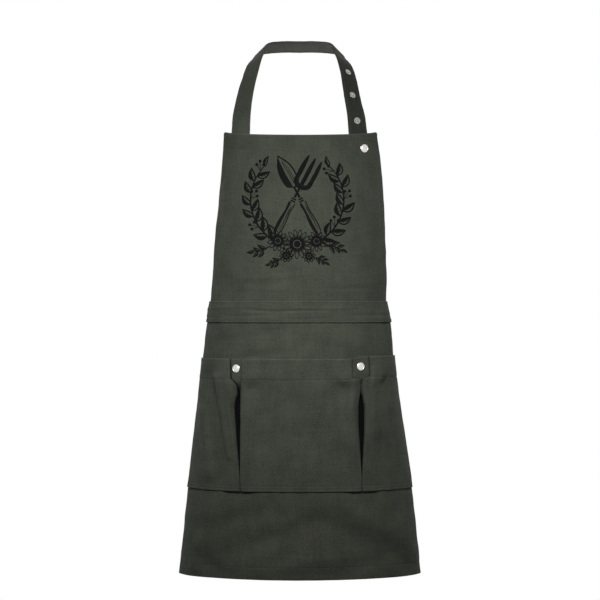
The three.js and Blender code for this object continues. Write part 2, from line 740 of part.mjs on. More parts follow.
const pocketDowns = spread(0, 1, POCKET_ROWS - 1);
const pocketFaces = pocketDowns.map((down) => {
  const line = pocketLine(down);
  return [offsetLine(line, CLOTH / 2), offsetLine(line, -CLOTH / 2)];
});
const pocketColumns = pocketFaces[0][0].length;
const pocketCloth = wall(pocketColumns, POCKET_ROWS, (i, j, inner) => {
  const { x: along, y: lift } = pocketFaces[j][inner][i];
  const height = lerp(mouthAt(along), POCKET_FOOT, pocketDowns[j]);
  return onFront(acrossAlong(along, height), height, lift);
});

// Pocket studs hold the mouth to the skirt in the middle of each pleat
const pocketPlaces = PLEATS.map((pleat) => {
  const down = POCKET_STUD_DROP / POCKET_HEIGHT;
  const along = (pleat.side * (pleat.out - pleat.lean * down) * WAIST_WIDTH) / 2;
  const height = lerp(mouthAt(along), POCKET_FOOT, down);
  return {
    name: pleat.side < 0 ? "left" : "right",
    across: acrossAlong(along, height),
    height,
  };
});
const skirtSeats = pocketPlaces.map(({ across, height }) => seatOnFront(across, height));
const pocketSeats = skirtSeats.map(({ point, turn }) => ({
  turn,
  point: new THREE.Vector3(0, STUD_STACK + CLOTH, 0).applyQuaternion(turn).add(point),
}));
add("pocket_panel", pierced(pocketCloth, pocketSeats), canvas);

// Skirt with the holes for the pocket studs
const skirtCloth = frontCloth({
  top: () => BAND_MIDDLE - GAP / 2,
  foot: HEM,
  topHem: 0,
  footHem: FOOT_HEM,
  width: HEM_WIDTH,
  grid: SKIRT_GRID,
});
add("skirt", pierced(skirtCloth, skirtSeats), canvas);

// Press studs are turned parts, modelled with +Y outwards and 0 on the cloth's outer face
function turned(profile, sides) {
  const points = profile.map(([radius, height]) => new THREE.Vector2(radius, height));
  return new THREE.LatheGeometry(points, sides);
}

function capProfile(cloth) {
  const foot = -(cloth + SEAT + SOCKET_HEIGHT / 3);
  return [
    [0, foot],
    [SHANK_RADIUS, foot],
    [SHANK_RADIUS, SEAT],
    [0.88 * CAP_RADIUS, SEAT],
    [CAP_RADIUS, SEAT + 0.3 * CAP_HEIGHT],
    [0.94 * CAP_RADIUS, SEAT + 0.6 * CAP_HEIGHT],
    [0.6 * CAP_RADIUS, SEAT + 0.92 * CAP_HEIGHT],
    [0, SEAT + CAP_HEIGHT],
  ];
}

function socketProfile(cloth) {
  const top = -(cloth + SEAT);
  const foot = top - SOCKET_HEIGHT;
  return [
    [HOLE_RADIUS, foot],
    [0.9 * SOCKET_RADIUS, foot],
    [SOCKET_RADIUS, foot + 0.25 * SOCKET_HEIGHT],
    [SOCKET_RADIUS, top],
    [HOLE_RADIUS, top],
    [HOLE_RADIUS, foot],
  ];
}

function studProfile(cloth) {
  const foot = -(cloth + SEAT + RIVET_HEIGHT / 3);
  const flange = SEAT + STUD_FLANGE;
  return [
    [0, foot],
    [SHANK_RADIUS, foot],
    [SHANK_RADIUS, SEAT],
    [STUD_RADIUS, SEAT],
    [STUD_RADIUS, flange],
    [SHANK_RADIUS, flange],
    [SHANK_RADIUS, flange + 0.7 * NUB_HEIGHT],
    [0, flange + NUB_HEIGHT],
  ];
}

function rivetProfile(cloth) {
  const top = -(cloth + SEAT);
  const foot = top - RIVET_HEIGHT;
  const floor = lerp(top, foot, 0.7);
  return [
    [0, foot],
    [0.84 * RIVET_RADIUS, foot],
    [RIVET_RADIUS, lerp(foot, top, 0.55)],
    [RIVET_RADIUS, top],
    [HOLE_RADIUS, top],
    [HOLE_RADIUS, floor],
    [0, floor],
  ];
}

function seated(seat, pieces) {
  const group = new THREE.Group();
  group.position.copy(seat.point);
  group.quaternion.copy(seat.turn);
  apron.add(group);
  for (const { name, profile, sides } of pieces) add(name, turned(profile, sides), nickel, group);
}

seated(capSeat, [
  { name: "bib_cap", profile: capProfile(2 * CLOTH), sides: CAP_SIDES },
  { name: "bib_socket", profile: socketProfile(2 * CLOTH), sides: TURNED_SIDES },
]);
strapSeats.forEach((seat, i) => {
  seated(seat, [
    { name: `strap_stud_${i + 1}`, profile: studProfile(STRAP_CLOTH), sides: TURNED_SIDES },
    { name: `strap_rivet_${i + 1}`, profile: rivetProfile(STRAP_CLOTH), sides: TURNED_SIDES },
  ]);
});
pocketPlaces.forEach(({ name }, i) => {
  seated(pocketSeats[i], [
    { name: `pocket_cap_${name}`, profile: capProfile(CLOTH), sides: CAP_SIDES },
    { name: `pocket_socket_${name}`, profile: socketProfile(CLOTH), sides: TURNED_SIDES },
  ]);
  seated(skirtSeats[i], [
    { name: `skirt_stud_${name}`, profile: studProfile(CLOTH), sides: TURNED_SIDES },
    { name: `skirt_rivet_${name}`, profile: rivetProfile(CLOTH), sides: TURNED_SIDES },
  ]);
});

export default apron;
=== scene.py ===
# The looks of a gardening apron in the form it has when worn. Lengths are in millimetres until a
# mesh is made, +Z is up, the front faces -Y, and the origin is where the neck strap lies on the
# nape of the neck.

import math

import bmesh
import bpy
import numpy as np
from mathutils.geometry import tessellate_polygon
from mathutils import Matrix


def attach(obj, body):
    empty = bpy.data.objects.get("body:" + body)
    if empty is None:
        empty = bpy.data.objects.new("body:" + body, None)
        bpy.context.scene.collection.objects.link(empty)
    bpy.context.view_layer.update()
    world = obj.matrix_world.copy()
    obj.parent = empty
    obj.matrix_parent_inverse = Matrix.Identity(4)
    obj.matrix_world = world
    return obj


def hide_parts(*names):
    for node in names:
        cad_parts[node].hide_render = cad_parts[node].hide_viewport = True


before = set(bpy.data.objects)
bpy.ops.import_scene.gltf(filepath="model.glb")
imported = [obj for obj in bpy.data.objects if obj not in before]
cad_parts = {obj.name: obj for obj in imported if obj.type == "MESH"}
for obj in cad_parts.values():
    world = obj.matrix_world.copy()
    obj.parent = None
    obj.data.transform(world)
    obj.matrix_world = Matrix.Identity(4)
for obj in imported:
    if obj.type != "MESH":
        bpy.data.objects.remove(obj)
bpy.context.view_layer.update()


# The photographer's place: straight before the apron, a little above its pocket, with a long lens.
# The lens is given by the photo's frame and by how many pixels one radian takes in it.
MM = 0.001
PHOTO_WIDTH = 600
PIXELS_PER_RADIAN = 1714.3
CAMERA_FROM_NAPE = 3185
CAMERA_BELOW_NAPE = 469
SENSOR_WIDTH = 36


def linked(obj):
    bpy.context.scene.collection.objects.link(obj)
    return obj


camera = linked(bpy.data.objects.new("camera", bpy.data.cameras.new("camera")))
camera.data.sensor_width = SENSOR_WIDTH
camera.data.lens = camera.data.sensor_width * PIXELS_PER_RADIAN / PHOTO_WIDTH
camera.location = (0, -CAMERA_FROM_NAPE * MM, -CAMERA_BELOW_NAPE * MM)
camera.rotation_euler = (math.radians(90), 0, 0)
bpy.context.scene.camera = camera
bpy.context.scene.view_settings.view_transform = "Standard"


# The bib: one cloth of plain-woven cotton canvas, curved round the chest. Its side edges and its
# top are turned back and stitched, and its foot goes under the waistband.
STRAP_DROP = 179.5
CORNER_RISE = 8.5
CORNER_ROUND = 2.6
CORNER_SPAN = (0.94, 1)
BIB_HEM_CLEAR = 0.03
BIB_HEIGHT = 292.5
BAND_HEIGHT = 36
SKIRT_LENGTH = 450.5
BIB_TOP_WIDTH = 273
WAIST_WIDTH = 331
HEM_WIDTH = 433
FRONT_REACH = 178
SIDE_DEPTH = 85
WRAP = math.radians(78)
CLOTH = 1.2
SIDE_HEM = 18
TOP_HEM = 30
FOLD_DEPTH = 4
GAP = 0.3
SEAT = 0.5
LAID = 0.8
GRID_STEP = 2.6
FINE_STEP = 0.45
FINE_PLACES = np.array([-6, -4, -3, -2, -1, 0, 1, 2, 3, 4, 6])
HEM_PLACES = np.arange(-8, 7, 1.5)
LAYER_STEP = 0.4
RIM_RINGS = 3
CREASE_SEED = 7
CREASE_WAVES = 26
CREASE_LENGTHS = (16, 62)
CREASE_LIFT = 0.3
CREASE_FADE = 70
STITCH_DIP = 0.38
STITCH_INSET = 2.6

BIB_TOP = -STRAP_DROP
BAND_TOP = BIB_TOP - BIB_HEIGHT
BAND_FOOT = BAND_TOP - BAND_HEIGHT
BAND_MIDDLE = (BAND_TOP + BAND_FOOT) / 2
HEM = BAND_FOOT - SKIRT_LENGTH

# Sections of the front, as (height, half width on the left, on the right, reach, depth)
BIB_STEP = (WAIST_WIDTH - BIB_TOP_WIDTH) / 2
SKIRT_STEP = (HEM_WIDTH - WAIST_WIDTH) / 2


def bib_row(down, left, right, reach, depth):
    sides = [BIB_TOP_WIDTH / 2 + BIB_STEP * share for share in (left, right)]
    return (BIB_TOP - down * BIB_HEIGHT, *sides, reach * FRONT_REACH, depth * SIDE_DEPTH)


def skirt_row(down, left, right, reach, depth):
    sides = [WAIST_WIDTH / 2 + SKIRT_STEP * share for share in (left, right)]
    return (BAND_FOOT - down * SKIRT_LENGTH, *sides, reach * FRONT_REACH, depth * SIDE_DEPTH)


SECTIONS = np.array([
    bib_row(0, -0.03, 0.03, 0.966, 0.42),
    bib_row(0.13, 0.07, 0.24, 0.99, 0.58),
    bib_row(0.38, 0.3, 0.45, 1.03, 0.75),
    bib_row(0.62, 0.53, 0.56, 1.035, 0.82),
    bib_row(0.87, 0.72, 0.66, 1.015, 0.86),
    bib_row(1, 0.86, 0.63, 1, 0.86),
    skirt_row(0, 0.03, -0.06, 1, 0.86),
    skirt_row(0.15, 0.185, 0.06, 1.02, 0.93),
    skirt_row(0.32, 0.35, 0.26, 1.04, 1),
    skirt_row(0.66, 0.69, 0.69, 1.055, 1),
    skirt_row(1, 1, 1, 1.067, 1),
])

# Soft folds: across, down, long, wide, lean in degrees, lift
FOLDS = (
    (-0.8, 0.13, 0.19, 0.04, 16, 0.5),
    (0.84, 0.13, 0.2, 0.04, -6, 0.5),
    (-0.4, 0.3, 0.2, 0.1, 30, -0.35),
    (0.45, 0.31, 0.2, 0.1, -26, -0.35),
    (-0.72, 0.92, 0.24, 0.09, 7, 0.8),
    (-0.5, 0.95, 0.16, 0.07, 24, -0.7),
    (-0.16, 0.93, 0.16, 0.07, 38, -0.6),
    (0.04, 0.9, 0.18, 0.08, -30, 0.5),
    (0.36, 0.95, 0.2, 0.08, -42, -0.8),
    (0.7, 0.93, 0.24, 0.09, -6, 0.8),
)

# Small creases, in the same columns
CREASES = (
    (-0.88, 0.15, 0.12, 0.015, 15, 0.6),
    (-0.8, 0.13, 0.1, 0.018, 19, -0.45),
    (0.87, 0.14, 0.17, 0.015, -3, 0.55),
    (0.78, 0.14, 0.13, 0.022, -5, -0.4),
    (-0.35, 0.322, 0.1, 0.01, 84, 0.26),
    (-0.2, 0.348, 0.13, 0.009, 93, 0.24),
    (0.5, 0.345, 0.12, 0.01, 88, -0.26),
    (-0.62, 0.47, 0.05, 0.03, 60, -0.6),
    (-0.35, 0.498, 0.05, 0.014, 78, -0.5),
    (-0.2, 0.505, 0.06, 0.012, 80, 0.3),
    (-0.15, 0.44, 0.2, 0.03, 74, -0.5),
    (0.3, 0.46, 0.16, 0.028, -70, 0.45),
    (0.02, 0.965, 0.12, 0.03, 70, 0.7),
    (0.4, 0.97, 0.1, 0.028, 64, -0.7),
    (-0.6, 0.97, 0.09, 0.028, -56, -0.7),
    (-0.86, 0.44, 0.06, 0.014, 6, 0.35),
    (0.86, 0.45, 0.07, 0.016, -4, -0.5),
    (0.93, 0.45, 0.06, 0.014, -5, 0.4),
    (-0.44, 0.87, 0.12, 0.04, 66, -1.0),
    (-0.08, 0.9, 0.15, 0.045, 60, -1.1),
    (0.28, 0.9, 0.15, 0.045, -52, -1.15),
    (0.52, 0.88, 0.13, 0.04, -48, 0.9),
    (-0.68, 0.92, 0.12, 0.03, 14, 0.8),
    (-0.27, 0.955, 0.1, 0.03, 48, 0.8),
    (0.66, 0.95, 0.09, 0.03, -38, -0.8),
)


def follow(places, values, at):
    """Reads values at a place, on a smooth curve through them."""
    order = np.arange(len(places))
    before = np.maximum(order - 1, 0)
    after = np.minimum(order + 1, order[-1])
    slopes = (values[after] - values[before]) / (places[after] - places[before])
    row = np.clip(np.searchsorted(places, at, side="right") - 1, 0, order[-1] - 1)
    span = places[row + 1] - places[row]
    t = np.clip((at - places[row]) / span, 0, 1)
    return (
        values[row] * (2 * t**3 - 3 * t**2 + 1)
        + slopes[row] * span * (t**3 - 2 * t**2 + t)
        + values[row + 1] * (3 * t**2 - 2 * t**3)
        + slopes[row + 1] * span * (t**3 - t**2)
    )


def smoothstep(start, end, value):
    t = np.clip((value - start) / (end - start), 0, 1)
    return t * t * (3 - 2 * t)


def section(across, height):
    """The oval of the front: half width, depth and reach."""
    left, right, reach, depth = (follow(-SECTIONS[:, 0], SECTIONS[:, i], -height) for i in (1, 2, 3, 4))
    half = np.where(across < 0, left, right) / math.sin(WRAP)
    return half, depth / (1 - math.cos(WRAP)), reach


crease_dice = np.random.default_rng(CREASE_SEED)
crease_turns = crease_dice.uniform(0, 2 * math.pi, CREASE_WAVES)
crease_waves = 2 * math.pi / crease_dice.uniform(*CREASE_LENGTHS, CREASE_WAVES)
crease_starts = crease_dice.uniform(0, 2 * math.pi, CREASE_WAVES)


def crease(x, height):
    """The cloth's own slight unevenness, which the strap pulls flat at the bib's top."""
    lift = np.zeros(np.broadcast(x, height).shape)
    for turn, wave, start in zip(crease_turns, crease_waves, crease_starts):
        lift += np.sin(wave * (x * math.cos(turn) + height * math.sin(turn)) + start) / wave
    lift = CREASE_LIFT * lift / math.sqrt(CREASE_WAVES) / (sum(1 / crease_waves) / CREASE_WAVES)
    return lift * smoothstep(BIB_TOP, BIB_TOP - CREASE_FADE, height)


def fold_lift(across, height):
    lift = 0
    for place, down, long, wide, lean, rise in FOLDS + CREASES:
        aside = (across - place) * WAIST_WIDTH / 2
        below = BIB_TOP - down * (BIB_TOP - HEM) - height
        turn = math.radians(lean)
        along = (below * math.cos(turn) - aside * math.sin(turn)) / (long * SKIRT_LENGTH)
        off = (aside * math.cos(turn) + below * math.sin(turn)) / (wide * SKIRT_LENGTH)
        lift = lift + rise * FOLD_DEPTH * np.exp(-(along**2) - off**2)
    return lift


def on_front(across, height, lift=0):
    """A point of the front: across from -1 to 1, the height, and how far it stands off the cloth."""
    across, height = np.broadcast_arrays(np.asarray(across, float), np.asarray(height, float))
    half, depth, reach = section(across, height)
    turn = across * WRAP
    x = half * np.sin(turn)
    y = depth * (1 - np.cos(turn)) - reach
    outward = np.stack([depth * np.sin(turn), -half * np.cos(turn)], -1)
    outward /= np.linalg.norm(outward, axis=-1, keepdims=True)
    off = lift + fold_lift(across, height) + crease(x, height)
    return np.stack([x + outward[..., 0] * off, y + outward[..., 1] * off, height], -1)


ARC_STEPS = 40
SETTLE_STEPS = 5


def along_front(across, height):
    """Length along the cloth from the middle plane, with the sign of its side."""
    across, height = np.broadcast_arrays(np.asarray(across, float), np.asarray(height, float))
    half, depth, reach = section(across, height)
    turn = across[..., None] * WRAP * (np.arange(ARC_STEPS) + 0.5) / ARC_STEPS
    speed = np.hypot(half[..., None] * np.cos(turn), depth[..., None] * np.sin(turn))
    return speed.mean(-1) * across * WRAP


def across_along(length, height):
    """across for a place given by its length along the cloth."""
    length, height = np.broadcast_arrays(np.asarray(length, float), np.asarray(height, float))
    side = np.where(length < 0, -1.0, 1.0)
    across = length / np.abs(along_front(side, height))
    for step in range(SETTLE_STEPS):
        half, depth, reach = section(across, height)
        turn = across * WRAP
        speed = np.hypot(half * np.cos(turn), depth * np.sin(turn)) * WRAP
        across = across - (along_front(across, height) - length) / speed
    return across


def across_at(x, height):
    """across for a place given by its distance from the middle plane."""
    half, depth, reach = section(x, height)
    return np.arcsin(np.clip(x / half, -1, 1)) / WRAP


def steps_with(start, end, step, marks):
    """Even steps from start to end, with fine ones round each mark."""
    places = np.linspace(start, end, max(2, round(abs(end - start) / step)) + 1)
    near = FINE_STEP * FINE_PLACES
    extra = np.concatenate([mark + near for mark in marks]) if len(marks) else np.array([])
    low, high = min(start, end), max(start, end)
    extra = extra[(extra > low + FINE_STEP) & (extra < high - FINE_STEP)]
    free = FINE_STEP * 0.6
    clear = [place for place in places if not len(extra) or np.min(np.abs(extra - place)) > free]
    clear = np.unique(np.concatenate([clear, extra, places[[0, -1]]]))
    return clear if end > start else clear[::-1]


def mesh_object(name, points, faces, uv=None, wear_and_shading=None):
    """An object whose mesh has its points in metres, with an optional cloth map and a tint value per point:
    paler for rubbed edges and painted light, darker for painted shade.
    """
    mesh = bpy.data.meshes.new(name)
    mesh.from_pydata((np.asarray(points) * MM).tolist(), [], [list(face) for face in faces])
    mesh.validate()
    mesh.polygons.foreach_set("use_smooth", np.ones(len(mesh.polygons), bool))
    if uv is not None:
        corners = np.zeros(len(mesh.loops), int)
        mesh.loops.foreach_get("vertex_index", corners)
        layer = mesh.uv_layers.new(name="cloth")
        layer.data.foreach_set("uv", (np.asarray(uv)[corners] * MM).ravel())
    if wear_and_shading is not None:
        layer = mesh.attributes.new("wear_and_shading", "FLOAT", "POINT")
        layer.data.foreach_set("value", np.asarray(wear_and_shading, float))
    return linked(bpy.data.objects.new(name, mesh))


def cloth_wall(name, outer, inner, flat, wear_and_shading=0, inside_wear_and_light=0):
    """A closed wall between two grids of points, rows downwards and columns to the right, with a
    rounded rim. flat is each point's place on the cloth as it was cut."""
    rows, columns = outer.shape[:2]
    index = np.arange(rows * columns).reshape(rows, columns)
    a, b, c, d = index[:-1, :-1], index[1:, :-1], index[1:, 1:], index[:-1, 1:]
    front = np.stack([a, b, c, d], -1).reshape(-1, 4)
    back = front[:, ::-1] + rows * columns
    i = np.concatenate([
        np.arange(rows - 1), np.full(columns - 1, rows - 1),
        np.arange(rows - 1, 0, -1), np.zeros(columns - 1, int),
    ])
    j = np.concatenate([
        np.zeros(rows - 1, int), np.arange(columns - 1),
        np.full(rows - 1, columns - 1), np.arange(columns - 1, 0, -1),
    ])
    middle = (outer + inner) / 2
    reach = middle[i, j] - middle[np.clip(i, 1, rows - 2), np.clip(j, 1, columns - 2)]
    half = (outer - inner)[i, j] / 2
    thick = np.linalg.norm(half, axis=1, keepdims=True)
    reach -= half * np.sum(reach * half, 1, keepdims=True) / thick**2
    reach *= thick / np.linalg.norm(reach, axis=1, keepdims=True)
    points = [outer.reshape(-1, 3), inner.reshape(-1, 3)]
    rings = [index[i, j]]
    for ring in range(RIM_RINGS):
        turn = math.pi * (ring + 1) / (RIM_RINGS + 1)
        points.append(middle[i, j] + half * math.cos(turn) + reach * math.sin(turn))
        rings.append(2 * rows * columns + ring * len(i) + np.arange(len(i)))
    rings.append(index[i, j] + rows * columns)
    rim = [
        np.stack([np.roll(near, -1), near, far, np.roll(far, -1)], -1)
        for near, far in zip(rings, rings[1:])
    ]
    faces = np.concatenate([front, back, *rim]).tolist()
    # The tint value: positive for rubbed edges and painted light, negative for painted shade. The inner
    # face takes the inside value, the rim the outer face's.
    wear_and_shading = np.broadcast_to(wear_and_shading, (rows, columns))
    edge = RIM_RINGS * [flat[i, j]]
    edge_tint = RIM_RINGS * [wear_and_shading[i, j]]
    return mesh_object(
        name,
        np.concatenate(points),
        faces,
        np.concatenate([flat.reshape(-1, 2), flat.reshape(-1, 2), *edge]),
        np.concatenate([wear_and_shading.ravel(), (inside_wear_and_light + 0 * wear_and_shading).ravel(), *edge_tint]),
    )


def groove(distance, wide=1.1):
    """The dip of a row of stitches, at a distance from it."""
    return -STITCH_DIP * np.exp(-((distance / wide) ** 2))


PUCKER_LIFT = 0.13


def pucker(length, distance, reach=9, start=0.0):
    """Small ripples where a seam draws the cloth in."""
    waves = np.sin(length / 2.1 + start) + np.sin(length / 3.3 + 2 * start) + np.sin(length / 5.2 + 1.7)
    return PUCKER_LIFT * waves * np.exp(-((distance / reach) ** 2))


def bib_edge(across):
    rounding = CORNER_ROUND * smoothstep(*CORNER_SPAN, np.abs(across)) ** 2
    return BIB_TOP + CORNER_RISE * across**2 - rounding


def side_hem(width):
    return 1 - SIDE_HEM / (width / 2)


def hem_columns(width, clear):
    """Columns of a cloth with side hems: even ones, and fine ones at each hem's inner edge."""
    share = side_hem(width)
    even = steps_with(-1, 1, GRID_STEP / width * 2, [])
    even = even[np.abs(np.abs(even) - share) > clear]
    fine = FINE_STEP / (width / 2) * HEM_PLACES
    return np.unique(np.concatenate([even, share + fine, -share - fine]))


def edge_length(length, height):
    """Length along the cloth to the edge on the side that a length is on."""
    return np.abs(along_front(np.sign(length) + (length == 0), height))


def bib_relief(across, height):
    """Relief of the bib's outer face at its seams."""
    length = along_front(across, height)
    beside = np.abs(length) - side_hem(BIB_TOP_WIDTH) * edge_length(length, height)
    below = bib_edge(across) - height - TOP_HEM + STITCH_INSET
    lift = groove(beside - STITCH_INSET) + pucker(height, beside - STITCH_INSET, 8, 0.4)
    return lift + groove(below) * 0.6 + pucker(length, below, 7, 1.1) * 0.6


hem_share = side_hem(BIB_TOP_WIDTH)
bib_columns = hem_columns(BIB_TOP_WIDTH, BIB_HEM_CLEAR)
bib_drops = steps_with(0, BIB_HEIGHT + BAND_HEIGHT / 2, GRID_STEP, [TOP_HEM, TOP_HEM - STITCH_INSET])
bib_across, bib_drop = np.meshgrid(bib_columns, bib_drops)
bib_foot = BAND_MIDDLE + GAP / 2
bib_rises = bib_edge(bib_across)
bib_height = bib_rises - bib_drop * (bib_rises - bib_foot) / (BIB_HEIGHT + BAND_HEIGHT / 2)
hem_layers = np.maximum(
    smoothstep(hem_share - 0.004, hem_share + 0.004, np.abs(bib_across)),
    1 - smoothstep(TOP_HEM - LAYER_STEP, TOP_HEM + LAYER_STEP, bib_drop),
)
bib_faces = bib_relief(bib_across, bib_height)
bib_flat = np.stack([along_front(bib_across, bib_height), bib_height], -1)
bib = cloth_wall(
    "bib",
    on_front(bib_across, bib_height, bib_faces),
    on_front(bib_across, bib_height, bib_faces * 0.5 - CLOTH * (1 + hem_layers)),
    bib_flat,
    wear_and_shading=0.3 * np.exp(-(bib_drop / 1.6) ** 2),
)


class Wire:
    """A value on its way through a material. Python's operators carry it on by Math nodes."""

    def __init__(self, tree, socket=None):
        self.tree = tree
        self.socket = socket

    def node(self, kind, settings, sockets, output=0):
        """Adds a node: its settings first, then the values or wires of its sockets."""
        made = self.tree.nodes.new(kind)
        for name, value in settings.items():
            setattr(made, name, value)
        for name, value in sockets.items():
            if isinstance(value, Wire):
                self.tree.links.new(value.socket, made.inputs[name])
            else:
                made.inputs[name].default_value = value
        return Wire(self.tree, made.outputs[output])

    def maths(self, operation, *values):
        return self.node("ShaderNodeMath", {"operation": operation}, dict(enumerate(values)))

    def beside(self, output):
        return Wire(self.tree, self.socket.node.outputs[output])

    def stretched(self, sizes):
        return self.node("ShaderNodeVectorMath", {"operation": "MULTIPLY"}, {0: self, 1: sizes})

    def noise(self, sizes, detail=2.0, seed=0.0):
        sockets = {"Vector": self.stretched(sizes), "W": seed, "Scale": 1.0, "Detail": detail}
        return self.node("ShaderNodeTexNoise", {"noise_dimensions": "4D"}, sockets)

    def mixed(self, low, high):
        return self.node("ShaderNodeMix", {"data_type": "RGBA"}, {0: self, 6: low, 7: high}, 2)

    def within(self, low, high):
        return self.node("ShaderNodeMapRange", {}, {"Value": self, "From Min": low, "From Max": high})

    def into(self, socket):
        self.tree.links.new(self.socket, socket)

    def __add__(self, other):
        return self.maths("ADD", self, other)

    def __sub__(self, other):
        return self.maths("SUBTRACT", self, other)

    def __rsub__(self, other):
        return self.maths("SUBTRACT", other, self)

    def __mul__(self, other):
        return self.maths("MULTIPLY", self, other)

    def __mod__(self, other):
        return self.maths("FLOORED_MODULO", self, other)

    __radd__ = __add__
    __rmul__ = __mul__


def new_material(name):
    """A material with its shader, and a wire to start from."""
    material = bpy.data.materials.new(name)
    material.use_nodes = True
    tree = material.node_tree
    return material, tree.nodes["Principled BSDF"].inputs, Wire(tree)


def srgb(red, green, blue):
    """A colour from its values on a screen, 0 to 255."""
    lit = [((v / 255 + 0.055) / 1.055) ** 2.4 for v in (red, green, blue)]
    return (*lit, 1.0)


THREAD_PITCH = 0.72
WEAVE_DEPTH = 0.16
WEAVE_BUMP = 0.7
YARN_TONE = 0.95
FADED_TONE = 0.5
MOTTLE_TONE = 0.8
WEAVE_TONE = 0.5
FLECK_TONE = 1.5
MOTTLE_SIZES = (34, 34, 24)
FLECK_SIZES = (700, 700, 700)
# Painted shade: the near black that the cloth is tinted towards where its tint value is below zero.
PAINTED_SHADE_COLOUR = srgb(3, 3, 3)

# Streaks of uneven yarn and of fading, as (across, along, seed)
YARN_STREAKS = ((1.3, 34, 0), (30, 1.1, 3))
FADED_STREAKS = ((4, 120, 11), (120, 5, 13))


def woven(name, dark, light, edge_tint, depth=WEAVE_DEPTH, sheen=0.05):
    """Plain-woven cloth: threads over and under, uneven yarn, a faded mottle, pale rubbed edges, and
    painted light and shade from each point's tint value.
    """
    material, shader, start = new_material(name)
    cloth = start.node("ShaderNodeUVMap", {"uv_map": "cloth"}, {})
    counted = cloth.stretched((1 / (THREAD_PITCH * MM), 1 / (THREAD_PITCH * MM), 0))
    warp = start.node("ShaderNodeSeparateXYZ", {}, {0: counted})
    weft = warp.beside(1)
    column = start.maths("FLOOR", warp)
    row = start.maths("FLOOR", weft)
    warp_bow = 1 - (warp - column - 0.5) * (warp - column - 0.5) * 4
    weft_bow = 1 - (weft - row - 0.5) * (weft - row - 0.5) * 4
    over = (column + row) % 2
    weave = over * (warp_bow * (weft_bow * 0.5 + 0.5)) + (1 - over) * (weft_bow * (warp_bow * 0.5 + 0.5))
    yarn, bands = (
        sum(cloth.noise((1 / (x * MM), 1 / (y * MM), 1), seed=seed) * 0.5 for x, y, seed in streaks)
        for streaks in (YARN_STREAKS, FADED_STREAKS)
    )
    place = start.node("ShaderNodeTexCoord", {}, {}, "Object")
    mottle = place.noise(MOTTLE_SIZES, detail=3.0, seed=5)
    fleck = place.noise(FLECK_SIZES, detail=1.0, seed=9)
    tone = (yarn - 0.5) * YARN_TONE + (bands - 0.5) * FADED_TONE + (mottle - 0.5) * MOTTLE_TONE
    tone = tone + (weave - 0.5) * WEAVE_TONE + (fleck - 0.5) * FLECK_TONE + 0.5
    colour = tone.within(0.0, 1.0).mixed(dark, light)
    # The tint value: above zero it lightens towards the rubbed-edge colour, for real rubbing and for
    # painted light; below zero it paints shade towards near black.
    edge = start.node("ShaderNodeAttribute", {"attribute_name": "wear_and_shading"}, {}, 2)
    rubbed_and_lit = (edge * (mottle * 0.8 + fleck * 0.8)).within(0.1, 0.9)
    painted_shade = (edge * -1.0).within(0.0, 1.0)
    painted_shade.mixed(rubbed_and_lit.mixed(colour, edge_tint), PAINTED_SHADE_COLOUR).into(shader["Base Color"])
    (0.95 - weave * 0.1).into(shader["Roughness"])
    height = weave * 0.7 + yarn * 0.35 + fleck * 0.25
    relief = {"Strength": WEAVE_BUMP, "Distance": depth * MM, "Height": height}
    height.node("ShaderNodeBump", {}, relief).into(shader["Normal"])
    shader["Specular IOR Level"].default_value = 0.06
    shader["Sheen Weight"].default_value = sheen
    shader["Sheen Roughness"].default_value = 0.5
    return material


canvas = woven("canvas", srgb(46, 49, 42), srgb(74, 77, 68), srgb(104, 106, 97))


def thread_material():
    """Spun sewing thread, a little darker than the cloth."""
    material, shader, start = new_material("thread")
    place = start.node("ShaderNodeTexCoord", {}, {}, "Object")
    tone = place.noise((260, 260, 260), detail=2.0, seed=4).within(0.3, 0.7)
    tone.mixed(srgb(46, 49, 42), srgb(70, 73, 64)).into(shader["Base Color"])
    shader["Roughness"].default_value = 0.7
    return material


thread = thread_material()
STITCH_SOCKETS = {
    "Pitch": ("NodeSocketFloat", 3.3 * MM),
    "Length": ("NodeSocketFloat", 2.7 * MM),
    "Thickness": ("NodeSocketFloat", 0.62 * MM),
    "Wander": ("NodeSocketFloat", 0.05),
    "Seed": ("NodeSocketInt", 12),
    "Thread": ("NodeSocketMaterial", thread),
}


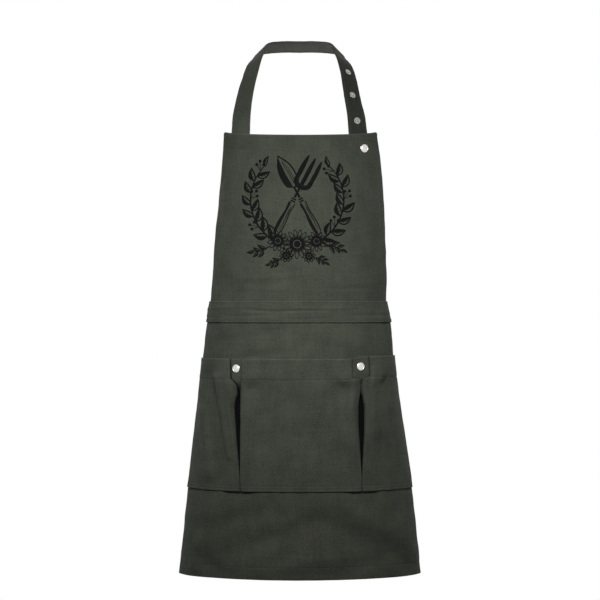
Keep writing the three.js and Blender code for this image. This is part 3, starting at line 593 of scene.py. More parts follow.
def stitch_nodes():
    """Lays stitches end to end along lines: short rounded threads, each turned the line's way."""
    tree = bpy.data.node_groups.new("stitches", "GeometryNodeTree")
    tree.interface.new_socket("Lines", in_out="INPUT", socket_type="NodeSocketGeometry")
    for name, (kind, value) in STITCH_SOCKETS.items():
        tree.interface.new_socket(name, in_out="INPUT", socket_type=kind)
    tree.interface.new_socket("Stitches", in_out="OUTPUT", socket_type="NodeSocketGeometry")
    lines = Wire(tree).node("NodeGroupInput", {}, {}, "Lines")
    curves = lines.node("GeometryNodeMeshToCurve", {}, {"Mesh": lines})
    evenly = {"Curve": curves, "Length": lines.beside("Pitch")}
    steps = lines.node("GeometryNodeResampleCurve", {"mode": "LENGTH"}, evenly)
    grain = lines.node("GeometryNodeMeshUVSphere", {}, {"Segments": 6, "Rings": 4, "Radius": 0.5})
    sizes = {"X": lines.beside("Thickness"), "Y": lines.beside("Thickness"), "Z": lines.beside("Length")}
    size = lines.node("ShaderNodeCombineXYZ", {}, sizes)
    stitch = lines.node("GeometryNodeTransform", {}, {"Geometry": grain, "Scale": size})
    chance = {"Min": (-1, -1, -1), "Max": (1, 1, 1), "Seed": lines.beside("Seed")}
    swerve = lines.node("FunctionNodeRandomValue", {"data_type": "FLOAT_VECTOR"}, chance)
    wander = {0: swerve, "Scale": lines.beside("Wander")}
    swerve = lines.node("ShaderNodeVectorMath", {"operation": "SCALE"}, wander)
    way = lines.node("GeometryNodeInputTangent", {}, {})
    way = lines.node("ShaderNodeVectorMath", {"operation": "ADD"}, {0: way, 1: swerve})
    turn = lines.node("FunctionNodeAlignRotationToVector", {"axis": "Z"}, {"Vector": way})
    each = {"Points": steps, "Instance": stitch, "Rotation": turn}
    laid = lines.node("GeometryNodeInstanceOnPoints", {}, each)
    real = lines.node("GeometryNodeRealizeInstances", {}, {"Geometry": laid})
    done = lines.node("GeometryNodeSetMaterial", {}, {"Geometry": real, "Material": lines.beside("Thread")})
    tree.links.new(done.socket, tree.nodes.new("NodeGroupOutput").inputs["Stitches"])
    return tree


stitching = stitch_nodes()


def sewn(name, lines):
    """Rows of stitches along lines of points in millimetres."""
    starts = np.cumsum([0] + [len(line) for line in lines])
    edges = [(i, i + 1) for start, end in zip(starts, starts[1:]) for i in range(start, end - 1)]
    mesh = bpy.data.meshes.new(name)
    mesh.from_pydata((np.concatenate(lines) * MM).tolist(), edges, [])
    guide = linked(bpy.data.objects.new(name, mesh))
    modifier = guide.modifiers.new("stitches", "NODES")
    modifier.node_group = stitching
    for socket in stitching.interface.items_tree:
        if socket.in_out == "INPUT" and socket.name in STITCH_SOCKETS:
            modifier[socket.identifier] = STITCH_SOCKETS[socket.name][1]
    graph = bpy.context.evaluated_depsgraph_get()
    made = bpy.data.meshes.new_from_object(guide.evaluated_get(graph))
    guide.modifiers.clear()
    guide.data = made
    made.polygons.foreach_set("use_smooth", np.ones(len(made.polygons), bool))
    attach(guide, "root")
    return guide


def dressed(piece, material, slot, *nodes):
    """Gives a piece its finish, and lets it stand for its nodes."""
    piece.data.materials.clear()
    piece.data.materials.append(material)
    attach(piece, "root")
    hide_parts(*nodes)


THREAD_SUNK = -0.1


def hem_place(share, inset, height):
    """across for a line of stitches beside a side hem's inner edge, at each height."""
    sides = np.abs(along_front(np.ones_like(height), height))
    return across_along(share * sides + inset, height)


def both_faces(across, height):
    """A line of stitches as it shows in front of a hem and behind it."""
    return [on_front(across, height, lift) for lift in (THREAD_SUNK, -2 * CLOTH)]


def hem_lines(share, rows):
    return [
        line for side in (-1, 1)
        for line in both_faces(side * hem_place(share, STITCH_INSET, rows), rows)
    ]


across = np.linspace(-0.98, 0.98, 110)
bib_lines = hem_lines(hem_share, np.linspace(bib_edge(1) - 3, BAND_TOP, 120))
bib_lines += both_faces(across, bib_edge(across) - TOP_HEM + STITCH_INSET)
bib_stitches = sewn("stitches_bib", bib_lines)
dressed(bib, canvas, "canvas", "bib")


# The print: black ink pressed into the bib's weave, a crossed trowel and hand fork in a wreath of
# leafy sprigs with daisies at its foot. It is a thin film that follows the cloth's every fold.
PRINT_MIDDLE = (-5, -293)
WREATH_RADIUS = 82
WREATH_FOOT = -62
WREATH_HEAD = 46
INK_LIFT = (0.05, 0.2)
INK_CUT = 6
INK_DEPTH = 0.12
INK_LAYER = 0.0004
DRAWING_SEED = 31
PEN = 1.75
TOOL_SIZE = 1.06
TOOL_TURN = 28
LEAF_TURNS = 7.4
LEAF_SIZES = (27, 5)
SPECKS = 46
SPECK_CLEAR = 9
SPECK_REACH = 60


# Daisies at the wreath's foot: middle, radius, petals, turn
DAISIES = (
    ((0, -78), 25, 15, 4), ((-34, -72), 18, 12, 10), ((34, -73), 17.5, 12, 0), ((-19, -98), 11.5, 10, 5),
    ((21, -99), 11, 10, 12),
)

# Sprigs beside them: base, turn, length, size of the leaves
SPRIGS = (
    ((-50, -82), 195, 26, 16), ((50, -82), -15, 26, 16),
    ((-28, -102), 205, 20, 13), ((29, -102), -25, 20, 13),
)


def through(points, t):
    """A smooth curve through points, from t = 0 to 1."""
    points = np.asarray(points, float)
    place = np.clip(t, 0, 1) * (len(points) - 1)
    k = np.minimum(place.astype(int), len(points) - 2)
    w = (place - k)[..., None]
    more = np.vstack([2 * points[0] - points[1], points, 2 * points[-1] - points[-2]])
    a, b, c, d = more[k], more[k + 1], more[k + 2], more[k + 3]
    before, here, after = (
        np.sqrt(np.linalg.norm(q - p, axis=-1, keepdims=True)) for p, q in ((a, b), (b, c), (c, d))
    )
    here = np.where(here < 1e-4, 1.0, here)
    before = np.where(before < 1e-4, here, before)
    after = np.where(after < 1e-4, here, after)
    leave = ((b - a) / before - (c - a) / (before + here) + (c - b) / here) * here
    arrive = ((c - b) / here - (d - b) / (here + after) + (d - c) / after) * here
    return (
        b * (2 * w**3 - 3 * w**2 + 1) + leave * (w**3 - 2 * w**2 + w)
        + c * (3 * w**2 - 2 * w**3) + arrive * (w**3 - w**2)
    )


drawing_dice = np.random.default_rng(DRAWING_SEED)
drawing = []


def placed(points, place=(0, 0), turn=0, size=1.0):
    """Points turned by degrees, sized and moved to a place of the drawing."""
    c, s = math.cos(math.radians(turn)), math.sin(math.radians(turn))
    points = np.asarray(points, float) * size
    return np.stack([points[:, 0] * c - points[:, 1] * s, points[:, 0] * s + points[:, 1] * c], -1) + place


def stroke(points, wide, start=0.3, end=0.1, steps=12):
    """A pen stroke through points, as wide in its middle and a share of it at its ends."""
    t = np.linspace(0, 1, steps)
    line = through(points, t)
    along = np.gradient(line, axis=0)
    along /= np.linalg.norm(along, axis=1, keepdims=True)
    aside = np.stack([-along[:, 1], along[:, 0]], -1)
    swell = np.sin(math.pi * t) ** 0.7
    half = PEN * wide / 2 * (swell + (1 - swell) * (start + (end - start) * t))[:, None]
    drawing.append(np.concatenate([line + aside * half, (line - aside * half)[::-1]]))


def disc(middle, radius, sides=12):
    turns = np.linspace(0, 2 * math.pi, sides, endpoint=False)
    drawing.append(np.stack([np.cos(turns), np.sin(turns)], -1) * radius + middle)


def leaf(base, turn, long, wide, curl=0.12):
    """A leaf: one half in solid ink, the other in outline with hatching between the veins."""
    t = np.linspace(0, 1, 9)
    rib = np.stack([t * long, curl * long * np.sin(math.pi * t)], -1)
    swell = (np.sin(math.pi * t**0.8) ** 0.9 * wide / 2)[:, None] * (0, 1)
    gap = 0.03 * wide * np.sin(math.pi * t)[:, None] * (0, 1)
    solid = np.concatenate([rib + gap, (rib + gap + swell)[::-1][1:-1]])
    drawing.append(placed(solid, base, turn))
    outline = placed(rib - swell, base, turn)
    stroke(outline[::2], 0.09 * wide + 0.35, 0.8, 0.8)
    stroke(placed(rib, base, turn)[::2], 0.05 * wide + 0.3, 0.9, 0.4)
    for part in (0.3, 0.5, 0.7):
        foot = through(rib, np.array([part]))[0]
        head = foot + (0.11 * long, -0.33 * wide * math.sin(math.pi * part))
        stroke(placed([foot, (foot + head) / 2, head], base, turn), 0.55, 0.9, 0.1, 4)


def sprig(base, turn, long, leaves, size, bend=0.15):
    """A curved stem with leaves on both sides and one at its tip."""
    t = np.linspace(0, 1, 9)
    stem = placed(np.stack([t * long, bend * long * np.sin(math.pi * t)], -1), base, turn)
    stroke(stem[::2], 1.1, 1.0, 0.5)
    for i in range(leaves):
        part = (i + 1) / (leaves + 1)
        way = 38 if i % 2 else -38
        leaf(through(stem, np.array([part]))[0], turn + way, size * (1.1 - 0.3 * part), 0.36 * size)
    leaf(stem[-1], turn, size * 0.9, 0.32 * size)


# The outline of a petal, as shares of its reach and of its half width
PETAL = (
    (0.3, 0.35), (0.55, 0.85), (0.85, 1.0), (1.0, 0.3),
    (1.0, -0.3), (0.85, -1.0), (0.55, -0.85), (0.3, -0.35),
)


def daisy(middle, radius, petals, turn=0):
    """A daisy: a dark eye and long petals in outline with short strokes at their feet."""
    disc(middle, 0.24 * radius, 16)
    for i in range(petals):
        way = turn + 360 * i / petals
        half = 0.8 * math.pi * 0.62 * radius / petals
        petal = [(radius * out, half * aside) for out, aside in PETAL]
        stroke(placed(petal, middle, way), 0.8, 0.8, 0.8, 16)
        for aside, reach in ((-0.25, 0.62), (0.2, 0.7)):
            line = [(0.3, aside), (0.5, aside), (reach, 1.4 * aside)]
            line = [(radius * out, half * beside) for out, beside in line]
            stroke(placed(line, middle, way), 0.6, 1.0, 0.1, 4)


def berries(base, turn, size):
    """Three berries on short stalks."""
    for lean, reach in ((-26, 0.8), (4, 1.1), (32, 0.85)):
        head = placed([(reach * size, 0)], base, turn + lean)[0]
        stroke(np.array([base, (base + head) / 2, head]), 0.6, 1.0, 0.8, 4)
        disc(head, 0.17 * size)


def tool_places(turn, place):
    """Turns points of an upright tool into places of the drawing."""
    return lambda points: placed(points, place, turn, TOOL_SIZE)


def handle(on):
    """A turned wooden handle with two rings, a ferrule and a neck, shaded on one side."""
    shape = [(-4.6, -71), (-6.2, -62), (-6.4, -48), (-4.6, -30), (-5.4, -16), (-4.4, -14)]
    left = through(shape, np.linspace(0, 1, 16))
    drawing.append(on(np.concatenate([left, [(-1.2, -14), (-0.6, -71)]])))
    stroke(on([(-x, y) for x, y in shape]), 1.1, 0.9, 0.9, 16)
    stroke(on([(-4.6, -71.5), (0, -74), (4.6, -71.5)]), 1.2, 0.8, 0.8)
    for aside in (1.6, 3.2):
        grain = [(aside, -66), (aside + 0.6, -50), (aside - 0.3, -30), (aside, -18)]
        stroke(on(grain), 0.6, 0.2, 0.2)
    for up in (-11.5, -7.5):
        drawing.append(on([(-4.2, up - 1.2), (4.2, up - 1.2), (4.2, up + 1.2), (-4.2, up + 1.2)]))
    drawing.append(on([(-1.9, -5), (1.9, -5), (1.6, 16), (-1.6, 16)]))


def trowel(on):
    handle(on)
    edge = [(-1.5, 14), (-10.5, 20), (-13, 34), (-10.5, 54), (0, 74)]
    left = through(edge, np.linspace(0, 1, 18))
    drawing.append(on(np.concatenate([left, [(-1.4, 60), (-2.4, 40), (-1.2, 20)]])))
    stroke(on([(-x, y) for x, y in edge]), 1.5, 0.9, 0.9, 20)
    for up in np.arange(22, 60, 3.6):
        reach = 8.5 if up < 44 else 8.5 - (up - 44) * 0.32
        stroke(on([(1.2, up), (0.55 * reach, up + 2.2), (reach, up + 5)]), 0.75, 1.0, 0.1, 5)


def hand_fork(on):
    handle(on)
    shoulders = [(-12.5, 30), (-11.5, 21), (-6, 16.5), (0, 15.5), (6, 16.5), (11.5, 21), (12.5, 30)]
    stroke(on(shoulders), 5.0, 0.8, 0.8, 20)
    for aside in (-12, 0, 12):
        bow = 1.06 if aside else 1
        stroke(on([(aside, 20), (aside * bow, 44), (aside * 0.97, 70)]), 4.2, 0.9, 0.1, 12)
        stroke(on([(aside + 3.1, 26), (aside + 3.1, 44), (aside + 2.2, 60)]), 0.6, 0.4, 0.1)


trowel(tool_places(TOOL_TURN, (2, 8)))
hand_fork(tool_places(-TOOL_TURN, (-2, 8)))
for side in (-1, 1):
    arc = np.radians(np.linspace(WREATH_FOOT, WREATH_HEAD, 15))
    stem = np.stack([side * WREATH_RADIUS * np.cos(arc), WREATH_RADIUS * np.sin(arc)], -1)
    stroke(stem, 1.6, 1.0, 0.3, 40)
    for i, turn in enumerate(np.arange(WREATH_FOOT + 4, WREATH_HEAD - 2, LEAF_TURNS)):
        around = math.radians(turn)
        place = np.array([side * math.cos(around), math.sin(around)]) * WREATH_RADIUS
        growing = turn + 90 if side > 0 else 90 - turn
        spread = 36 if i % 2 else -40
        size = LEAF_SIZES[0] - LEAF_SIZES[1] * (turn + 58) / 118 + drawing_dice.uniform(-1.5, 1.5)
        if i % 5 == 3:
            berries(place, growing + spread, 16)
        else:
            leaf(place, growing + spread, size, 0.46 * size, 0.1 * (1 if i % 2 else -1))
    tip = stem[-1]
    leaf(tip, 90 + side * (WREATH_HEAD - 26), 19, 7.5)
for middle, radius, petals, turn in DAISIES:
    daisy(np.array(middle, float), radius, petals, turn)
for base, turn, long, size in SPRIGS:
    sprig(np.array(base, float), turn, long, 4, size)
for speck in range(SPECKS):
    middle = drawing_dice.normal((0, -4), (34, 26))
    near = min(np.linalg.norm(middle - shape.mean(0)) for shape in drawing)
    if near > SPECK_CLEAR and np.hypot(*middle) < SPECK_REACH:
        disc(middle, drawing_dice.uniform(0.35, 0.8), 6)


def ink_film(name, shapes):
    """A thin film of ink on the bib, cut often enough to follow its curve."""
    cut = bmesh.new()
    lifts = cut.verts.layers.float.new("lift")
    for i, shape in enumerate(shapes):
        corners = [cut.verts.new((x, y, 0)) for x, y in shape]
        for corner in corners:
            corner[lifts] = INK_LIFT[1] + INK_LAYER * i
        for triangle in tessellate_polygon([[corner.co for corner in corners]]):
            if len(set(triangle)) == 3:
                cut.faces.new([corners[k] for k in triangle])
    for face in cut.faces:
        if face.normal.z < 0:
            face.normal_flip()
    for axis in (0, 1):
        low, high = (pick(corner.co[axis] for corner in cut.verts) for pick in (min, max))
        for place in np.arange(low + INK_CUT, high, INK_CUT):
            at = [0, 0, 0]
            at[axis] = place
            way = [0, 0, 0]
            way[axis] = 1
            everything = cut.verts[:] + cut.edges[:] + cut.faces[:]
            bmesh.ops.bisect_plane(cut, geom=everything, plane_co=at, plane_no=way)
    cut.verts.index_update()
    flat = np.array([corner.co[:2] for corner in cut.verts]) + PRINT_MIDDLE
    lift = np.array([corner[lifts] for corner in cut.verts])
    faces = [[corner.index for corner in face.verts] for face in cut.faces]
    rim = [
        [loop.vert.index, loop.link_loop_next.vert.index]
        for edge in cut.edges if edge.is_boundary for loop in edge.link_loops
    ]
    cut.free()
    across = across_at(flat[:, 0], flat[:, 1])
    count = len(flat)
    points = [on_front(across, flat[:, 1], level) for level in (lift, INK_LIFT[0])]
    faces = faces + [[k + count for k in face[::-1]] for face in faces]
    faces += [[b, a, a + count, b + count] for a, b in rim]
    cloth = np.stack([along_front(across, flat[:, 1]), flat[:, 1]], -1)
    return mesh_object(name, np.concatenate(points), faces, np.concatenate([cloth, cloth]))


ink = woven("ink", srgb(8, 8, 8), srgb(22, 23, 22), srgb(22, 23, 22), INK_DEPTH, sheen=0.0)
bib_print = ink_film("bib_print", drawing)
bib_print.data.materials.append(ink)
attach(bib_print, "root")


# The waistband: a folded band of the same canvas over the seam of bib and skirt, stitched along
# both edges. Wearing it has pressed a crease along its middle.
BAND_CLOTH = 1.6
BAND_STITCH = 2.4
BAND_CREASE_WIDE = 2.2

# Creases along the band: place below its top, depth, wave along it, start of the wave
BAND_CREASES = ((15, 1.9, 47, 2.2), (11, -0.9, 33, 0.4), (23, 0.9, 38, 4.0), (29, 0.7, 29, 1.1))

band_drops = steps_with(0, BAND_HEIGHT, 1.6, [BAND_STITCH, BAND_HEIGHT - BAND_STITCH])
band_across, band_drop = np.meshgrid(np.linspace(-1, 1, 170), band_drops)
band_height = BAND_TOP - band_drop
band_length = along_front(band_across, band_height)


def band_relief(length, drop):
    from_edge = np.minimum(drop, BAND_HEIGHT - drop)
    relief = groove(from_edge - BAND_STITCH) + pucker(length, from_edge - BAND_STITCH, 7, 2.0) * 0.8
    for place, depth, wave, start in BAND_CREASES:
        wander = 1.6 * np.sin(length / 41 + start) + 0.9 * np.sin(length / 17 + 2 * start)
        comes_and_goes = smoothstep(-0.3, 0.6, np.sin(length / wave + start))
        strength = depth * comes_and_goes * smoothstep(0, 6, from_edge)
        relief = relief - strength * np.exp(-(((drop - place - wander) / BAND_CREASE_WIDE) ** 2))
    return relief


band_lift = LAID + BAND_CLOTH + band_relief(band_length, band_drop)
band_flat = np.stack([band_length, band_height], -1)
waistband = cloth_wall(
    "waistband",
    on_front(band_across, band_height, band_lift),
    on_front(band_across, band_height, LAID + 0 * band_drop),
    band_flat,
    wear_and_shading=0.25 * np.exp(-(np.minimum(band_drop, BAND_HEIGHT - band_drop) / 1.2) ** 2),
)
across = np.linspace(-0.99, 0.99, 150)
band_lines = [
    on_front(across, height, LAID + BAND_CLOTH + THREAD_SUNK)
    for height in (BAND_TOP - BAND_STITCH, BAND_FOOT + BAND_STITCH)
]
band_stitches = sewn("stitches_waistband", band_lines)
dressed(waistband, canvas, "canvas", "waistband")


# The skirt: the same canvas, flaring to the hem, with its side edges and foot turned back and
# stitched. The hem's turned edge shows through as a faint ridge above its stitches.
FOOT_HEM = 23
HEM_RIDGE = 38
SKIRT_HEM_CLEAR = 0.02

skirt_top = BAND_MIDDLE - GAP / 2
skirt_share = side_hem(HEM_WIDTH)
skirt_length = skirt_top - HEM
foot_hem_drop = skirt_length - FOOT_HEM
skirt_drops = steps_with(0, skirt_length, GRID_STEP, [foot_hem_drop, foot_hem_drop + STITCH_INSET])
skirt_across, skirt_drop = np.meshgrid(hem_columns(HEM_WIDTH, SKIRT_HEM_CLEAR), skirt_drops)


def skirt_relief(across, height):
    """Relief of the skirt's outer face at its seams."""
    length = along_front(across, height)
    beside = np.abs(length) - skirt_share * edge_length(length, height)
    above = height - HEM
    lift = groove(beside - STITCH_INSET) + pucker(height, beside - STITCH_INSET, 9, 0.9)
    lift = lift + groove(above - FOOT_HEM + STITCH_INSET) + pucker(length, above - FOOT_HEM, 11, 0.2) * 1.3
    return lift + 0.25 * np.exp(-(((above - HEM_RIDGE) / 1.6) ** 2))


skirt_height = skirt_top - skirt_drop
skirt_faces = skirt_relief(skirt_across, skirt_height)
hem_layers = np.maximum(
    smoothstep(skirt_share - 0.003, skirt_share + 0.003, np.abs(skirt_across)),
    smoothstep(foot_hem_drop - LAYER_STEP, foot_hem_drop + LAYER_STEP, skirt_drop),
)
skirt_flat = np.stack([along_front(skirt_across, skirt_height), skirt_height], -1)
foot_wear = 0.3 * np.exp(-(((skirt_length - skirt_drop) / 2) ** 2))
skirt = cloth_wall(
    "skirt",
    on_front(skirt_across, skirt_height, skirt_faces),
    on_front(skirt_across, skirt_height, skirt_faces * 0.5 - CLOTH * (1 + hem_layers)),
    skirt_flat,
    wear_and_shading=foot_wear + 0.3 * smoothstep(0.985, 1, np.abs(skirt_across)),
)
skirt_lines = hem_lines(skirt_share, np.linspace(BAND_FOOT, HEM + 1, 170))
skirt_lines += both_faces(np.linspace(-0.99, 0.99, 160), HEM + FOOT_HEM - STITCH_INSET)
skirt_stitches = sewn("stitches_skirt", skirt_lines)
dressed(skirt, canvas, "canvas", "skirt")


# The pocket panel: one cloth over the skirt, stitched down at its sides and foot, with two
# inverted pleats that divide it into three pockets. Its mouth has a deep stitched hem.
POCKET_DROP = 65
POCKET_HEIGHT = 231.5
MOUTH_RISE = 4.5
MOUTH_STEP = (0.4, 0.6)
POCKET_STAND_OFF = 8.5
PLEAT_OPENING = 30
PLEAT_TUCK = 15
PLEAT_PUFF = 7
PLEAT_SHOULDER = (1.13, 2.4)
POCKET_STUD_DROP = 17
POCKET_HEM = 36
MOUTH_HEM_LIFT = 0.5
POCKET_FOOT_STITCHES = (3.5, 8.5)
SOCKET_HEIGHT = 2.4
STUD_FLANGE = 0.6
STUD_STACK = SEAT + SOCKET_HEIGHT + GAP + STUD_FLANGE + SEAT
MOUTH = BAND_FOOT - POCKET_DROP
POCKET_FOOT = MOUTH - POCKET_HEIGHT

# Pleats: side, place at the mouth and lean at the foot, as shares of half WAIST_WIDTH
PLEATS = ((-1, 0.683, 0.048), (1, 0.646, -0.015))

# How far each pleat stands open: down, left, right
PLEAT_LINE = np.array([
    (0, 0.74, 1.1), (0.14, 0.68, 1.08), (0.21, 0.5, 0.5), (0.3, 0.4, 0.41),
    (0.55, 0.24, 0.31), (0.75, 0.1, 0.13), (0.9, 0.01, 0.01), (1, 0.01, 0.01),
])

# Folds of the panel: where each starts, across and down, where it ends, its width and its lift
POCKET_FOLDS = (
    (-1.04, 0.16, -0.8, 0.95, 0.62, -1.0),
    (-1.12, 0.4, -0.99, 0.88, 0.36, 0.5),
    (-0.9, 0.14, -0.77, 0.75, 0.22, 0.55),
    (-0.5, 0.22, -0.42, 0.42, 0.42, -0.55),
    (-0.2, 0.3, -0.5, 0.85, 0.6, -0.28),
    (0.47, 0.24, 0.5, 0.45, 0.5, -0.7),
    (0.2, 0.55, 0.5, 0.9, 0.6, -0.4),
    (0.77, 0.02, 0.78, 0.45, 0.12, 0.16),
    (0.87, 0.44, 0.87, 0.5, 0.95, 0.4),
    (0.86, 0.66, 0.84, 0.9, 0.6, -0.3),
    (0.93, 0.2, 1.04, 0.6, 0.3, -0.35),
)
SIDE_COLUMNS = 38
MIDDLE_COLUMNS = 64
UNDER_COLUMNS = 5
ROUND_POINTS = 9
PLEAT_ROUNDS = ((8.5, 3), (9.5, 3.5))
PRESSED = 0.46
FOLDS_END = 9
FOLD_CLEAR = 0.4
FOLD_SOFT = 5
PLEAT_SOFT = ((0.1, 0.22), (0.3, 0.9))
PLEAT_SHADE = (0.15, 0.24)

# The pleats draw together under the mouth's hem before they open, the left one by its left fold
# alone: down, left, right
PLEAT_DRAWN = np.array([
    (0.15, 0, 0), (0.164, 0.12, 0.8), (0.2, 0.28, 0.52), (0.27, 0.24, 0.36), (0.31, 0.1, 0.2),
    (0.37, 0, 0.03), (0.5, 0, 0),
])

# Painted shade in the crevices beside each pleat's two folds and over their turns: its reach, its fade and
# its strength
CREVICE = 4
CREVICE_WIDE = 1.9
CREVICE_SHADE = ((1.0, 0.4), (0.95, 0.6))
TURN_SHADE = 0.6


def mouth_at(along):
    part = along / np.abs(along_front(1.0, MOUTH))
    return MOUTH + MOUTH_RISE * smoothstep(*MOUTH_STEP, part)


def pocket_fold_lift(along, down):
    lift = 0
    place = np.stack([along, np.full_like(along, down * POCKET_HEIGHT)], -1)
    for start, start_down, end, end_down, wide, rise in POCKET_FOLDS:
        first = np.array([start * WAIST_WIDTH / 2, start_down * POCKET_HEIGHT])
        line = np.array([end * WAIST_WIDTH / 2, end_down * POCKET_HEIGHT]) - first
        part = np.clip((place - first) @ line / (line @ line), 0, 1)
        off = np.linalg.norm(place - first - part[:, None] * line, axis=1) / (wide * PLEAT_OPENING)
        lift = lift + rise * POCKET_STAND_OFF * np.exp(-(off**2))
    return lift


def pocket_line(down):
    """The line of the panel's middle at one share of the way down: length along and lift."""
    height = MOUTH + down * (POCKET_FOOT - MOUTH)
    stud_row = POCKET_STUD_DROP / POCKET_HEIGHT
    layer = CLOTH + SEAT - PRESSED * smoothstep(0.6, 1, down)
    seam = LAID + CLOTH / 2
    fallen = smoothstep(1.6 * stud_row, 3.6 * stud_row, down)
    puff = PLEAT_PUFF * smoothstep(0, 4 * stud_row, down) * (1 - down)
    under = STUD_STACK + CLOTH / 2 + (seam - STUD_STACK - CLOTH / 2) * fallen
    between = under + layer
    over = between + layer + puff
    ends = [float(along_front(side, height)) - side * SEAT for side in (-1.0, 1.0)]
    line = []

    def lay(along, lift, hidden):
        line.append(np.stack([along, lift + 0 * along, hidden + 0 * along], -1))

    def turn_back(edge, way, start, end, bulge, hidden):
        turns = np.linspace(math.pi / 2, -math.pi / 2, ROUND_POINTS)
        lift = (start + end) / 2 + (start - end) / 2 * np.sin(turns)
        lay(edge - way * bulge * (1 - np.cos(turns)), lift, np.linspace(*hidden, ROUND_POINTS))

    def panel(start, end, count, folds, cut):
        along = np.linspace(start + cut[0], end - cut[1], count)
        part = (along - start) / (end - start)
        to_fold = np.min([np.abs(fold - along) for fold in folds], axis=0)
        beside = 1 - smoothstep(*PLEAT_SHOULDER, to_fold / PLEAT_TUCK)
        floor = seam + (between + layer - seam) * beside
        stand = POCKET_STAND_OFF * (1 - down) * np.sin(part * math.pi)
        lift = seam + (over - seam) * beside + stand * (1 - beside / 2)
        from_start = along - along[0] + FOLDS_END * (cut[0] == 0)
        to_edge = np.minimum(from_start, along[-1] - along + FOLDS_END * (cut[1] == 0))
        settled = smoothstep(0, FOLDS_END, to_edge) * smoothstep(0, FOLDS_END, to_fold)
        above = lift + pocket_fold_lift(along, down) * settled - floor
        soft_foot = FOLD_SOFT * settled * (1 - down) * np.sin(part * math.pi)
        lay(along, floor + (above + np.sqrt(above**2 + soft_foot**2)) / 2, 0)

    def level(start, end, lift, count):
        lay(np.linspace(start, end, count), lift, 1)

    def underlay(start, left, right, end, shades):
        # Values above 1 in the third place mark painted shade in the crevices beside the two folds.
        reach = min(CREVICE, (right - left) / 3)
        marks = (start, left, left + reach, right - reach, right, end)
        spans = [np.linspace(a, b, UNDER_COLUMNS)[:-1] for a, b in zip(marks, marks[1:])]
        along = np.concatenate([*spans, [end]])
        crevices = [
            shade * np.exp(-(((along - edge) / CREVICE_WIDE) ** 2))
            for edge, shade in zip((left, right), shades)
        ]
        lay(along, under, 1 + sum(crevices))

    pleats, shoulders = [], []
    for i, (side, out, lean) in enumerate(PLEATS):
        middle = side * (out - lean * down) * WAIST_WIDTH / 2
        wide = follow(PLEAT_LINE[:, 0], PLEAT_LINE[:, i + 1], down) * PLEAT_OPENING + CLOTH + SEAT
        drawn = np.interp(down, PLEAT_DRAWN[:, 0], PLEAT_DRAWN[:, i + 1]) * PLEAT_OPENING
        pleats.append((middle - wide / 2 + drawn * (1 - i / 2), middle + wide / 2 - drawn * i / 2))
        shoulders.append((middle - wide / 2, middle + wide / 2))
    soft = smoothstep(*PLEAT_SOFT[0], down) * (1 - smoothstep(*PLEAT_SOFT[1], down))
    small = layer / 2
    rounds = [[small + (full - small) * soft for full in pair] for pair in PLEAT_ROUNDS]
    room = [[bulge + FOLD_CLEAR for bulge in pair] for pair in rounds]
    inward = small + FOLD_CLEAR
    panel(ends[0], pleats[0][0], SIDE_COLUMNS, [shoulders[0][0]], (0, room[0][0]))
    for i, (left, right) in enumerate(pleats):
        turn_back(left, 1, over, between, rounds[i][0], (0, 1))
        level(left - room[i][0], left - PLEAT_TUCK + inward, between, 3)
        turn_back(left - PLEAT_TUCK, -1, between, under, small, (1, 1))
        underlay(left - PLEAT_TUCK + inward, left, right, right + PLEAT_TUCK - inward, CREVICE_SHADE[i])
        turn_back(right + PLEAT_TUCK, 1, under, between, small, (1, 1))
        level(right + PLEAT_TUCK - inward, right + room[i][1], between, 3)
        turn_back(right, -1, between, over, rounds[i][1], (1, 0))
        if i == 0:
            inner_folds = [shoulders[0][1], shoulders[1][0]]
            panel(right, pleats[1][0], MIDDLE_COLUMNS, inner_folds, (room[0][1], room[1][0]))
    panel(pleats[1][1], ends[1], SIDE_COLUMNS, [shoulders[1][1]], (room[1][1], 0))
    return np.concatenate(line)


pocket_stitch_line = POCKET_HEM / POCKET_HEIGHT
foot_lines = [1 - inset / POCKET_HEIGHT for inset in POCKET_FOOT_STITCHES]
fine_share = FINE_STEP / POCKET_HEIGHT
pocket_downs = np.unique(np.concatenate([
    np.linspace(0, 1, 92),
    *[mark + fine_share * np.array([-3, -2, -1, 0, 1, 2, 3]) for mark in (pocket_stitch_line, *foot_lines)],
    np.linspace(PLEAT_DRAWN[0, 0], PLEAT_DRAWN[1, 0], 6),
]))
pocket_lines = np.stack([pocket_line(down) for down in pocket_downs])
pocket_hidden = np.minimum(pocket_lines[..., 2], 1)
pocket_crevice = np.where(pocket_hidden < 1, TURN_SHADE * pocket_hidden, pocket_lines[..., 2] - 1)
pocket_lines = pocket_lines[..., :2]
pocket_slopes = np.gradient(pocket_lines, axis=1)
pocket_slopes /= np.linalg.norm(pocket_slopes, axis=2, keepdims=True)
pocket_normals = np.stack([-pocket_slopes[..., 1], pocket_slopes[..., 0]], -1)
pocket_down = pocket_downs[:, None] + 0 * pocket_lines[..., 0]
pocket_outside = 1 - pocket_hidden
pocket_cut = np.concatenate([
    np.zeros((len(pocket_downs), 1)),
    np.cumsum(np.linalg.norm(np.diff(pocket_lines, axis=1), axis=2), axis=1),
], axis=1)
from_stitch = (pocket_down - pocket_stitch_line) * POCKET_HEIGHT
pocket_relief = groove(from_stitch) + pucker(pocket_cut, from_stitch, 9, 0.5)
pocket_relief += MOUTH_HEM_LIFT * smoothstep(1.2, -1.2, from_stitch)
for foot_line in foot_lines:
    pocket_relief += groove((pocket_down - foot_line) * POCKET_HEIGHT) * 0.8
pocket_relief += pucker(pocket_cut, (pocket_down - foot_lines[0]) * POCKET_HEIGHT, 14, 1.9) * 1.3
pocket_faces = []
